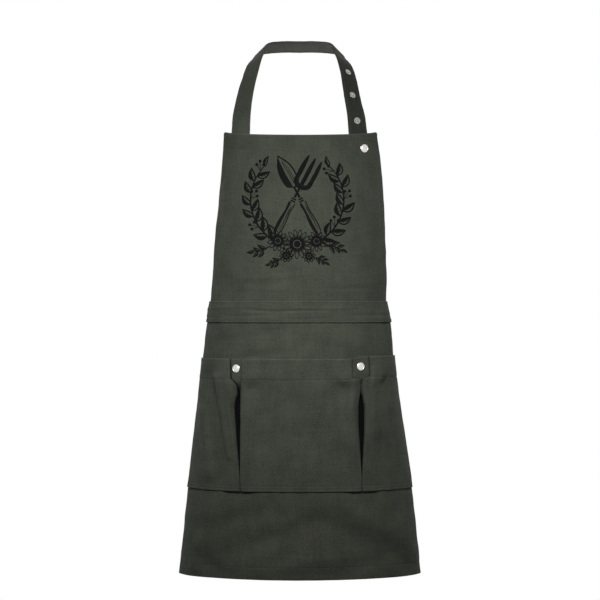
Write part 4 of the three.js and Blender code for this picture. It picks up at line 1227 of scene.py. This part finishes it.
for offset, share in ((CLOTH / 2, pocket_outside), (-CLOTH / 2, 0)):
    place = pocket_lines + pocket_normals * (offset + (pocket_relief * share))[..., None]
    along = place[..., 0]
    height = mouth_at(along) + pocket_down * (POCKET_FOOT - mouth_at(along))
    pocket_faces.append(on_front(across_along(along, height), height, place[..., 1]))
pocket_flat = np.stack([pocket_cut, -pocket_down * POCKET_HEIGHT], -1)
# Painted shade: the pleats' inner layers darken to near black below the mouth's hem, and thin lines of
# painted shade lie in the crevices and over the folds' turns at the mouth.
pocket_opened = smoothstep(*PLEAT_SHADE, pocket_down)
pocket_shade = pocket_opened * pocket_hidden + (1 - pocket_opened) * pocket_crevice
pocket_panel = cloth_wall(
    "pocket_panel",
    *pocket_faces,
    pocket_flat,
    wear_and_shading=0.3 * np.exp(-((pocket_down * POCKET_HEIGHT / 1.6) ** 2)) - pocket_shade,
)
outer = pocket_faces[0]
shown = pocket_hidden[0] < 0.01
panels = np.split(np.arange(len(shown)), np.flatnonzero(np.diff(shown.astype(int))) + 1)
panels = [columns for columns in panels if shown[columns[0]]]
mouth_row = int(np.argmin(np.abs(pocket_downs - pocket_stitch_line)))
foot_rows = [int(np.argmin(np.abs(pocket_downs - line))) for line in foot_lines]
pocket_lines_sewn = [outer[row][columns] for row in (mouth_row, *foot_rows) for columns in panels]
pocket_lines_sewn += [outer[:, 2], outer[:, -3]]
pocket_stitches = sewn("stitches_pocket_panel", pocket_lines_sewn)
dressed(pocket_panel, canvas, "canvas", "pocket_panel")


# The neck strap: a stiff tape of the same canvas, folded double and stitched along both edges. It
# goes from behind the bib's left corner round the neck to the right corner, where studs close it.
STRAP_WIDTH = 34
STRAP_CLOTH = 2.2
STRAP_STITCH = 3.0
NEAR = 0.01
LENGTH_STEPS = 200

# Stations: left, right, before, below, faces, dips
STRAP_LINE = (
    (0.755, 0.726, 0.803, 0.794, 24, 5), (0.727, 0.687, 0.747, 0.639, 30, 8),
    (0.687, 0.654, 0.674, 0.481, 33, 10), (0.654, 0.634, 0.618, 0.384, 35, 12),
    (0.623, 0.605, 0.539, 0.284, 36, 14), (0.596, 0.577, 0.466, 0.213, 38, 17),
    (0.55, 0.528, 0.36, 0.138, 44, 21), (0.505, 0.49, 0.213, 0.056, 56, 25),
    (0.37, 0.36, 0.067, 0.016, 74, 27), (0.185, 0.18, 0.011, 0, 85, 27),
)

# Where each end lies behind the bib: at its edge, at the strap's end, and how far it is tucked in
STRAP_ENDS = {-1: (0.785, 0.815, 0.9), 1: (0.776, 0.87, 1.3)}


def strap_place(side, drop):
    at_edge, at_end, tuck = STRAP_ENDS[side]
    x = side * (at_edge + (at_end - at_edge) * drop / (tuck * STRAP_WIDTH)) * BIB_TOP_WIDTH / 2
    height = bib_edge(across_at(x, BIB_TOP)) - drop
    return float(across_at(x, height)), float(height)


def strap_end(side):
    stack = LAID if side < 0 else STUD_STACK
    for part in (1, 0.5, 0.1):
        across, height = strap_place(side, part * STRAP_ENDS[side][2] * STRAP_WIDTH)
        lift = -(2 * CLOTH + stack + STRAP_CLOTH)
        point, beside = on_front(across, height, lift), on_front(across + NEAR, height, lift)
        half_wide = NEAR * STRAP_WIDTH / 2 / np.linalg.norm(beside - point)
        outer = on_front(across + side * half_wide, height, lift)
        inner = on_front(across - side * half_wide, height, lift)
        cup = np.linalg.norm(point - (outer + inner) / 2)
        yield (*point, *((outer - inner) / np.linalg.norm(outer - inner)), cup)


def strap_limb(side):
    for left, right, before, below, faces, dips in STRAP_LINE:
        out = side * (left if side < 0 else right) * BIB_TOP_WIDTH / 2
        turn, dip = math.radians(faces), math.radians(dips)
        width = (side * math.cos(turn) * math.cos(dip), math.sin(turn) * math.cos(dip), -math.sin(dip))
        yield (out, -before * FRONT_REACH, -below * STRAP_DROP, *width, 0)


def tangent(points, t):
    step = through(points, np.minimum(t + 1e-4, 1)) - through(points, np.maximum(t - 1e-4, 0))
    return step / np.linalg.norm(step, axis=-1, keepdims=True)


def lengths_along(points):
    chain = through(points, np.linspace(0, 1, LENGTH_STEPS + 1))
    return np.concatenate([[0], np.cumsum(np.linalg.norm(np.diff(chain, axis=0), axis=1))])


nape_dip = math.radians(STRAP_LINE[-1][5])
strap_stations = np.array([
    *strap_end(-1), *strap_limb(-1), (0, 0, 0, 0, math.cos(nape_dip), -math.sin(nape_dip), 0),
    *reversed(list(strap_limb(1))), *reversed(list(strap_end(1))),
])
strap_points, strap_widths = strap_stations[:, :3], strap_stations[:, 3:6]
strap_cups = np.stack([strap_stations[:, 6]] + 2 * [np.zeros(len(strap_stations))], -1)
strap_lengths = lengths_along(strap_points)
STRAP_LENGTH = strap_lengths[-1]


def on_strap(distance, aside, lift):
    """A point of the strap: the distance along it, aside from its middle, and off its inner face."""
    distance, aside, lift = np.broadcast_arrays(*(np.asarray(v, float) for v in (distance, aside, lift)))
    t = np.interp(distance, strap_lengths, np.linspace(0, 1, LENGTH_STEPS + 1))
    along = tangent(strap_points, t)
    width = through(strap_widths, t)
    width = width - along * np.sum(width * along, -1, keepdims=True)
    width /= np.linalg.norm(width, axis=-1, keepdims=True)
    outward = np.cross(along, width)
    back = through(strap_cups, t)[..., 0] * (aside / (STRAP_WIDTH / 2)) ** 2
    point = through(strap_points, t) + width * aside[..., None] + outward * (lift - back)[..., None]
    return point, outward


strap_seam = STRAP_WIDTH / 2 - STRAP_STITCH
strap_asides = steps_with(-STRAP_WIDTH / 2, STRAP_WIDTH / 2, 2.0, [-strap_seam, strap_seam])
strap_distances = np.linspace(0, STRAP_LENGTH, 360)
strap_aside, strap_distance = np.meshgrid(strap_asides, strap_distances)
from_edge = STRAP_WIDTH / 2 - np.abs(strap_aside)
from_seam = from_edge - STRAP_STITCH
strap_faces = groove(from_seam) + pucker(strap_distance, from_seam, 4, 1.3) * 0.7
strap_faces = strap_faces - 0.3 * smoothstep(1.2, 0, from_edge)
# Painted light: the strap's inner face is made paler round the nape, through the rubbed-edge colour.
nape_painted_light = 0.9 * np.exp(-(((strap_distance - STRAP_LENGTH / 2) / 95) ** 2))
# Painted shade: the right limb, which carries the studs, is made darker.
studded_limb_shade = smoothstep(STRAP_LENGTH / 2 + 90, STRAP_LENGTH / 2 + 150, strap_distance)
neck_strap = cloth_wall(
    "neck_strap",
    on_strap(strap_distance, strap_aside, STRAP_CLOTH + strap_faces)[0],
    on_strap(strap_distance, strap_aside, -strap_faces * 0.6)[0],
    np.stack([strap_aside, strap_distance], -1),
    wear_and_shading=0.25 * np.exp(-((from_edge / 0.9) ** 2)) - 0.5 * studded_limb_shade,
    inside_wear_and_light=nape_painted_light,
)
tape = woven("tape", srgb(50, 53, 46), srgb(78, 81, 72), srgb(112, 114, 106))
ends = (STRAP_STITCH, STRAP_LENGTH - STRAP_STITCH)
rows = np.linspace(*ends, 260)
strap_lines = [
    on_strap(rows, aside, lift)[0]
    for aside in (-strap_seam, strap_seam) for lift in (STRAP_CLOTH + THREAD_SUNK, 0.0)
]
asides = np.linspace(-strap_seam, strap_seam, 14)
strap_lines += [on_strap(end, asides, lift)[0] for end in ends for lift in (STRAP_CLOTH, 0.0)]
sewn("stitches_neck_strap", strap_lines)
dressed(neck_strap, tape, "webbing", "neck_strap")


# The waist tie: a narrower tape of the same make, from behind the two ends of the waistband round
# the back. Where it is knotted, out of the photo's sight, a plain wrapped knot holds it.
TIE_WIDTH = 28
TIE_CLOTH = 1.6
TIE_TUCK = 34
WAIST_BACK = 40
TIE_STEPS = 300
KNOT_LENGTH = 24
KNOT_WALL = 2.4
TIE_STITCH = 2.6


def tie_edge(aside):
    height = BAND_MIDDLE + aside
    lift = -(2 * CLOTH + LAID + SEAT)
    tucked = 1 - TIE_TUCK / float(along_front(1.0, height))
    halves = []
    for side in (-1, 1):
        tucks = [on_front(side * across, height, lift) for across in np.linspace(tucked, 1, 4)]
        edge = tucks[-1]
        round_back = [
            (edge[0] * math.cos(turn), edge[1] + (WAIST_BACK - edge[1]) * math.sin(turn), height)
            for turn in np.linspace(0, math.pi / 2, 8)[1:]
        ]
        halves.append([*tucks, *round_back])
    return np.array([*halves[0], *halves[1][-2::-1]])


tie_seam = TIE_WIDTH / 2 - TIE_STITCH
tie_asides = steps_with(TIE_WIDTH / 2, -TIE_WIDTH / 2, 2.0, [-tie_seam, tie_seam])
tie_top, tie_foot = tie_edge(TIE_WIDTH / 2), tie_edge(-TIE_WIDTH / 2)
tie_rows = []
for edge in (tie_top, tie_foot):
    lengths = lengths_along(edge)
    t = np.interp(np.linspace(0, lengths[-1], TIE_STEPS), lengths, np.linspace(0, 1, LENGTH_STEPS + 1))
    tie_rows.append(through(edge, t))
TIE_LENGTH = lengths[-1]
share = ((TIE_WIDTH / 2 - tie_asides) / TIE_WIDTH)[:, None, None]
tie_outer = tie_rows[0] * (1 - share) + tie_rows[1] * share
tie_along = np.gradient(tie_outer, axis=1)
tie_inward = np.stack([tie_along[..., 1], -tie_along[..., 0], 0 * tie_along[..., 0]], -1)
tie_inward /= np.linalg.norm(tie_inward, axis=-1, keepdims=True)
tie_distance = np.linspace(0, TIE_LENGTH, TIE_STEPS)[None, :] + 0 * tie_outer[..., 0]
from_edge = TIE_WIDTH / 2 - np.abs(tie_asides[:, None]) + 0 * tie_distance
tie_faces = groove(from_edge - TIE_STITCH) + pucker(tie_distance, from_edge - TIE_STITCH, 4, 2.2) * 0.6
tie_flat = np.stack([tie_asides[:, None] + 0 * tie_distance, tie_distance], -1)
waist_tie = cloth_wall(
    "waist_tie",
    (tie_outer - tie_inward * tie_faces[..., None])[:, ::-1],
    (tie_outer + tie_inward * (TIE_CLOTH + 0.4 * tie_faces)[..., None])[:, ::-1],
    tie_flat[:, ::-1],
    wear_and_shading=0.4 * np.exp(-((from_edge[:, ::-1] / 0.9) ** 2)),
)
tie_lines = []
for share in (TIE_STITCH / TIE_WIDTH, 1 - TIE_STITCH / TIE_WIDTH):
    line = tie_rows[0] * (1 - share) + tie_rows[1] * share
    inward = np.stack([np.gradient(line[:, 1]), -np.gradient(line[:, 0]), 0 * line[:, 0]], -1)
    inward /= np.linalg.norm(inward, axis=1, keepdims=True)
    tie_lines += [line[2:-2], (line + inward * TIE_CLOTH)[2:-2]]
sewn("stitches_waist_tie", tie_lines)
dressed(waist_tie, tape, "webbing", "waist_tie")


def rounded_slot(wide, high, radius, sides=8):
    """The outline of a slot with round corners, as points (aside, up)."""
    turns = np.linspace(0, math.pi / 2, sides)
    x, y = wide / 2 - radius, high / 2 - radius
    corners = ((x, y, 0), (-x, y, 1), (-x, -y, 2), (x, -y, 3))
    arcs = [(cx, cy, turn + quarter * math.pi / 2) for cx, cy, quarter in corners for turn in turns]
    return np.array([(cx + radius * math.cos(turn), cy + radius * math.sin(turn)) for cx, cy, turn in arcs])


KNOT_RINGS = 33
knot_wide = TIE_CLOTH + 4 * SEAT
knot_high = TIE_WIDTH + 4 * SEAT
knot_outside = rounded_slot(knot_wide + 2 * KNOT_WALL, knot_high + 2 * KNOT_WALL, KNOT_WALL)
knot_inside = rounded_slot(knot_wide, knot_high, knot_wide / 4)
knot_points, knot_flat = [], []
knot_girth = np.concatenate([[0], np.cumsum(np.linalg.norm(np.diff(knot_outside, axis=0), axis=1))])


def knot_ring(x, outline):
    knot_points.append([(x, WAIST_BACK - TIE_CLOTH / 2 + y, BAND_MIDDLE + z) for y, z in outline])
    knot_flat.append(np.stack([knot_girth, 0 * knot_girth + x], -1))


for ring in range(KNOT_RINGS):
    x = KNOT_LENGTH * (ring / (KNOT_RINGS - 1) - 0.5)
    part = abs(2 * x / KNOT_LENGTH)
    rounding = 1 - 0.16 * part**6
    fold = 1 + 0.05 * np.sin(x / 2.6 + knot_outside[:, 1] / 7) * (1 - part**4)
    knot_ring(x, knot_outside * np.stack([rounding * fold, 1 - 0.04 * part**6 + 0 * fold], -1))
for x in (KNOT_LENGTH / 2, -KNOT_LENGTH / 2):
    knot_ring(x, knot_inside)
around = len(knot_outside)
knot_faces = []
for ring in range(KNOT_RINGS + 2):
    after = (ring + 1) % (KNOT_RINGS + 2)
    for i in range(around):
        j = (i + 1) % around
        knot_faces.append((ring * around + i, ring * around + j, after * around + j, after * around + i))
tie_knot = mesh_object("tie_knot", np.concatenate(knot_points), knot_faces, np.concatenate(knot_flat))
dressed(tie_knot, tape, "webbing", "tie_knot")


# Press studs: nickel-plated brass caps, sockets, studs and rivets, pressed through the cloths.
# The bib's cap closes on the lowest of the strap's four studs, the pocket's two on the skirt's.
CAP_RADIUS = 7.2
CAP_HEIGHT = 2.4
SOCKET_RADIUS = 5.4
STUD_RADIUS = 6
NUB_HEIGHT = 1.5
RIVET_RADIUS = 4.8
RIVET_HEIGHT = 1.4
SHANK_RADIUS = 1.9
STUD_PITCH = 50.5
STUD_COUNT = 4
BIB_CAP_DROP = 25.5
TURNED_SIDES = 40
HOLE_RADIUS = (SHANK_RADIUS + GAP) / math.cos(math.pi / 12)


def nickel_plate(name, dark, light):
    """Nickel plating, clouded by handling, with fine scratches."""
    material, shader, start = new_material(name)
    place = start.node("ShaderNodeTexCoord", {}, {}, "Object")
    cloud = place.noise((420, 420, 420), detail=4.0, seed=2)
    hairline = place.noise((5200, 900, 900), detail=2.0, seed=6)
    (0.17 + cloud * 0.14 + hairline * 0.06).into(shader["Roughness"])
    cloud.within(0.3, 0.75).mixed(dark, light).into(shader["Base Color"])
    shader["Metallic"].default_value = 1.0
    return material


nickel = nickel_plate("nickel", srgb(196, 194, 188), srgb(232, 231, 228))
dull_nickel = nickel_plate("dull_nickel", srgb(96, 96, 93), srgb(196, 195, 190))


def seat_on_front(across, height):
    """A place on the front's cloth, and the way outwards from it."""
    right = on_front(across + NEAR, height) - on_front(across - NEAR, height)
    up = on_front(across, height + 1) - on_front(across, height - 1)
    outward = np.cross(right, up)
    return on_front(across, height), outward / np.linalg.norm(outward)


def lifted(seat, lift):
    return seat[0] + seat[1] * lift, seat[1]


def arc(middle, radii, start, end, sides=5):
    """Points of an elliptic arc of a turned profile, between two angles in degrees."""
    turns = np.radians(np.linspace(start, end, sides))
    return [(middle[0] + radii[0] * math.cos(t), middle[1] + radii[1] * math.sin(t)) for t in turns]


def turned(name, profile, seat):
    """A turned part from its profile, as (radius, height above the cloth) from foot to top."""
    point, outward = seat
    side = np.cross(outward, (0, 0, 1))
    side /= np.linalg.norm(side)
    up = np.cross(side, outward)
    points, rings, faces = [], [], []
    for radius, height in profile:
        if radius < 1e-6:
            rings.append([len(points)] * TURNED_SIDES)
            points.append(point + outward * height)
            continue
        rings.append(list(range(len(points), len(points) + TURNED_SIDES)))
        for i in range(TURNED_SIDES):
            turn = 2 * math.pi * i / TURNED_SIDES
            points.append(point + outward * height + radius * (side * math.cos(turn) + up * math.sin(turn)))
    closes = np.allclose(profile[0], profile[-1])
    for low, high in zip(rings, rings[1:]):
        for i in range(TURNED_SIDES):
            j = (i + 1) % TURNED_SIDES
            corners = dict.fromkeys((low[j], low[i], high[i], high[j]))
            faces.append(tuple(corners))
    if closes:
        last = dict(zip(rings[-1], rings[0]))
        faces = [tuple(last.get(corner, corner) for corner in face) for face in faces]
        points = points[:len(points) - TURNED_SIDES]
    piece = mesh_object(name, points, faces)
    dressed(piece, nickel if "cap" in name else dull_nickel, "nickel", name)


def cap_profile(cloth):
    foot = -(cloth + SEAT + SOCKET_HEIGHT / 3)
    rim = 0.34 * CAP_HEIGHT
    return [
        (0, foot), (SHANK_RADIUS, foot), (SHANK_RADIUS, SEAT), (CAP_RADIUS - rim, SEAT),
        *arc((CAP_RADIUS - rim, SEAT + rim), (rim, rim), -75, 105, 9),
        *arc((0, SEAT + 1.25 * rim), (0.84 * CAP_RADIUS, CAP_HEIGHT - 1.25 * rim), 8, 90, 9)[:-1],
        (0, SEAT + CAP_HEIGHT),
    ]


def socket_profile(cloth):
    top = -(cloth + SEAT)
    foot = top - SOCKET_HEIGHT
    rim = 0.3 * SOCKET_HEIGHT
    return [
        (HOLE_RADIUS, top), (HOLE_RADIUS, foot + 0.3), (HOLE_RADIUS + 0.3, foot),
        *arc((SOCKET_RADIUS - rim, foot + rim), (rim, rim), -90, 0, 5),
        *arc((SOCKET_RADIUS - 0.2, top - 0.2), (0.2, 0.2), 0, 90, 3),
        (HOLE_RADIUS, top),
    ]


def stud_profile(cloth):
    foot = -(cloth + SEAT + RIVET_HEIGHT / 3)
    flange = SEAT + STUD_FLANGE
    half = STUD_FLANGE / 2
    bead = 0.35 * NUB_HEIGHT
    return [
        (0, foot), (SHANK_RADIUS, foot), (SHANK_RADIUS, SEAT), (STUD_RADIUS - half, SEAT),
        *arc((STUD_RADIUS - half, SEAT + half), (half, half), -60, 90, 6),
        (SHANK_RADIUS + 0.5, flange - 0.15), (SHANK_RADIUS - 0.15, flange + 0.1),
        (SHANK_RADIUS - 0.2, flange + 0.3 * NUB_HEIGHT),
        *arc((SHANK_RADIUS - bead, flange + NUB_HEIGHT - bead), (bead, bead), -30, 70, 6),
        (0, flange + NUB_HEIGHT),
    ]


def rivet_profile(cloth):
    top = -(cloth + SEAT)
    foot = top - RIVET_HEIGHT
    floor = top - 0.7 * RIVET_HEIGHT
    rim = 0.45 * RIVET_HEIGHT
    return [
        (0, foot + 0.25), (0.3 * RIVET_RADIUS, foot + 0.15), (0.6 * RIVET_RADIUS, foot),
        *arc((RIVET_RADIUS - rim, foot + rim), (rim, rim), -90, 0, 5),
        (RIVET_RADIUS, top), (HOLE_RADIUS, top), (HOLE_RADIUS, floor), (0, floor),
    ]


cap_place = strap_place(1, BIB_CAP_DROP)
cap_seat = seat_on_front(*cap_place)
turned("bib_cap", cap_profile(2 * CLOTH), cap_seat)
turned("bib_socket", socket_profile(2 * CLOTH), cap_seat)
cap_along_strap = STRAP_LENGTH - (STRAP_ENDS[1][2] * STRAP_WIDTH - BIB_CAP_DROP)
closed_seat = lifted(cap_seat, -(2 * CLOTH + STUD_STACK))
for i in range(STUD_COUNT):
    seat = on_strap(cap_along_strap - i * STUD_PITCH, 0, STRAP_CLOTH) if i else closed_seat
    turned(f"strap_stud_{i + 1}", stud_profile(STRAP_CLOTH), seat)
    turned(f"strap_rivet_{i + 1}", rivet_profile(STRAP_CLOTH), seat)

for side, out, lean in PLEATS:
    name = "left" if side < 0 else "right"
    down = POCKET_STUD_DROP / POCKET_HEIGHT
    along = side * (out - lean * down) * WAIST_WIDTH / 2
    height = float(mouth_at(along) + down * (POCKET_FOOT - mouth_at(along)))
    skirt_seat = seat_on_front(float(across_along(along, height)), height)
    turned(f"skirt_stud_{name}", stud_profile(CLOTH), skirt_seat)
    turned(f"skirt_rivet_{name}", rivet_profile(CLOTH), skirt_seat)
    pocket_seat = lifted(skirt_seat, STUD_STACK + CLOTH)
    turned(f"pocket_cap_{name}", cap_profile(CLOTH), pocket_seat)
    turned(f"pocket_socket_{name}", socket_profile(CLOTH), pocket_seat)


# The studio: one small soft light near the apron, before and above it, whose light falls off
# towards the hem. The surround looks white, lights little from before and more from behind, and
# the pale floor well below the hem throws no light on the cloth.
FLOOR = -1450
FLOOR_RADIUS = 2200
FLOOR_GLOW = 0.35
FLOOR_SIDES = 96
KEY_PLACE = (-30, -900, -60)
KEY_AIM = -640
KEY_SIZE = 300
KEY_POWER = 3.75
KEY_SPREAD = 110
FILL = 0.09
BACK_LIGHT = 1.4
BACKDROP = (-0.1, 0.6)

world = bpy.data.worlds.new("surround")
world.use_nodes = True
sky = Wire(world.node_tree)
seen = sky.node("ShaderNodeBackground", {}, {"Color": (1, 1, 1, 1), "Strength": 1.0})
bearing = sky.node("ShaderNodeTexCoord", {}, {})
behind = sky.node("ShaderNodeSeparateXYZ", {}, {0: bearing}, "Y").within(*BACKDROP)
lit = {"Color": (1, 1, 1, 1), "Strength": FILL + (BACK_LIGHT - FILL) * behind}
fill = sky.node("ShaderNodeBackground", {}, lit)
straight = sky.node("ShaderNodeLightPath", {}, {}, "Is Camera Ray")
looked_at = straight.maths("MAXIMUM", straight, straight.beside("Is Glossy Ray"))
both = sky.node("ShaderNodeMixShader", {}, {0: looked_at, 1: fill, 2: seen})
both.into(world.node_tree.nodes["World Output"].inputs["Surface"])
bpy.context.scene.world = world

key = linked(bpy.data.objects.new("key", bpy.data.lights.new("key", "AREA")))
key.data.shape = "DISK"
key.data.size = KEY_SIZE * MM
key.data.energy = KEY_POWER
key.data.spread = math.radians(KEY_SPREAD)
key.location = [c * MM for c in KEY_PLACE]
key.visible_camera = False
aim = np.array([0, -FRONT_REACH, KEY_AIM]) - np.array(KEY_PLACE)
tilt = math.atan2(math.hypot(aim[0], aim[1]), -aim[2])
key.rotation_euler = (tilt, 0, math.atan2(aim[1], aim[0]) - math.pi / 2)

rim_points = [
    (FLOOR_RADIUS * math.cos(turn), FLOOR_RADIUS * math.sin(turn), FLOOR)
    for turn in np.linspace(0, 2 * math.pi, FLOOR_SIDES, endpoint=False)
]
floor = mesh_object("floor", rim_points, [range(len(rim_points))])
floor.visible_diffuse = False
floor_paint, paint, start = new_material("floor")
paint["Base Color"].default_value = srgb(236, 236, 234)
paint["Roughness"].default_value = 0.9
paint["Emission Color"].default_value = (1, 1, 1, 1)
paint["Emission Strength"].default_value = FLOOR_GLOW
floor.data.materials.append(floor_paint)


bpy.context.view_layer.update()
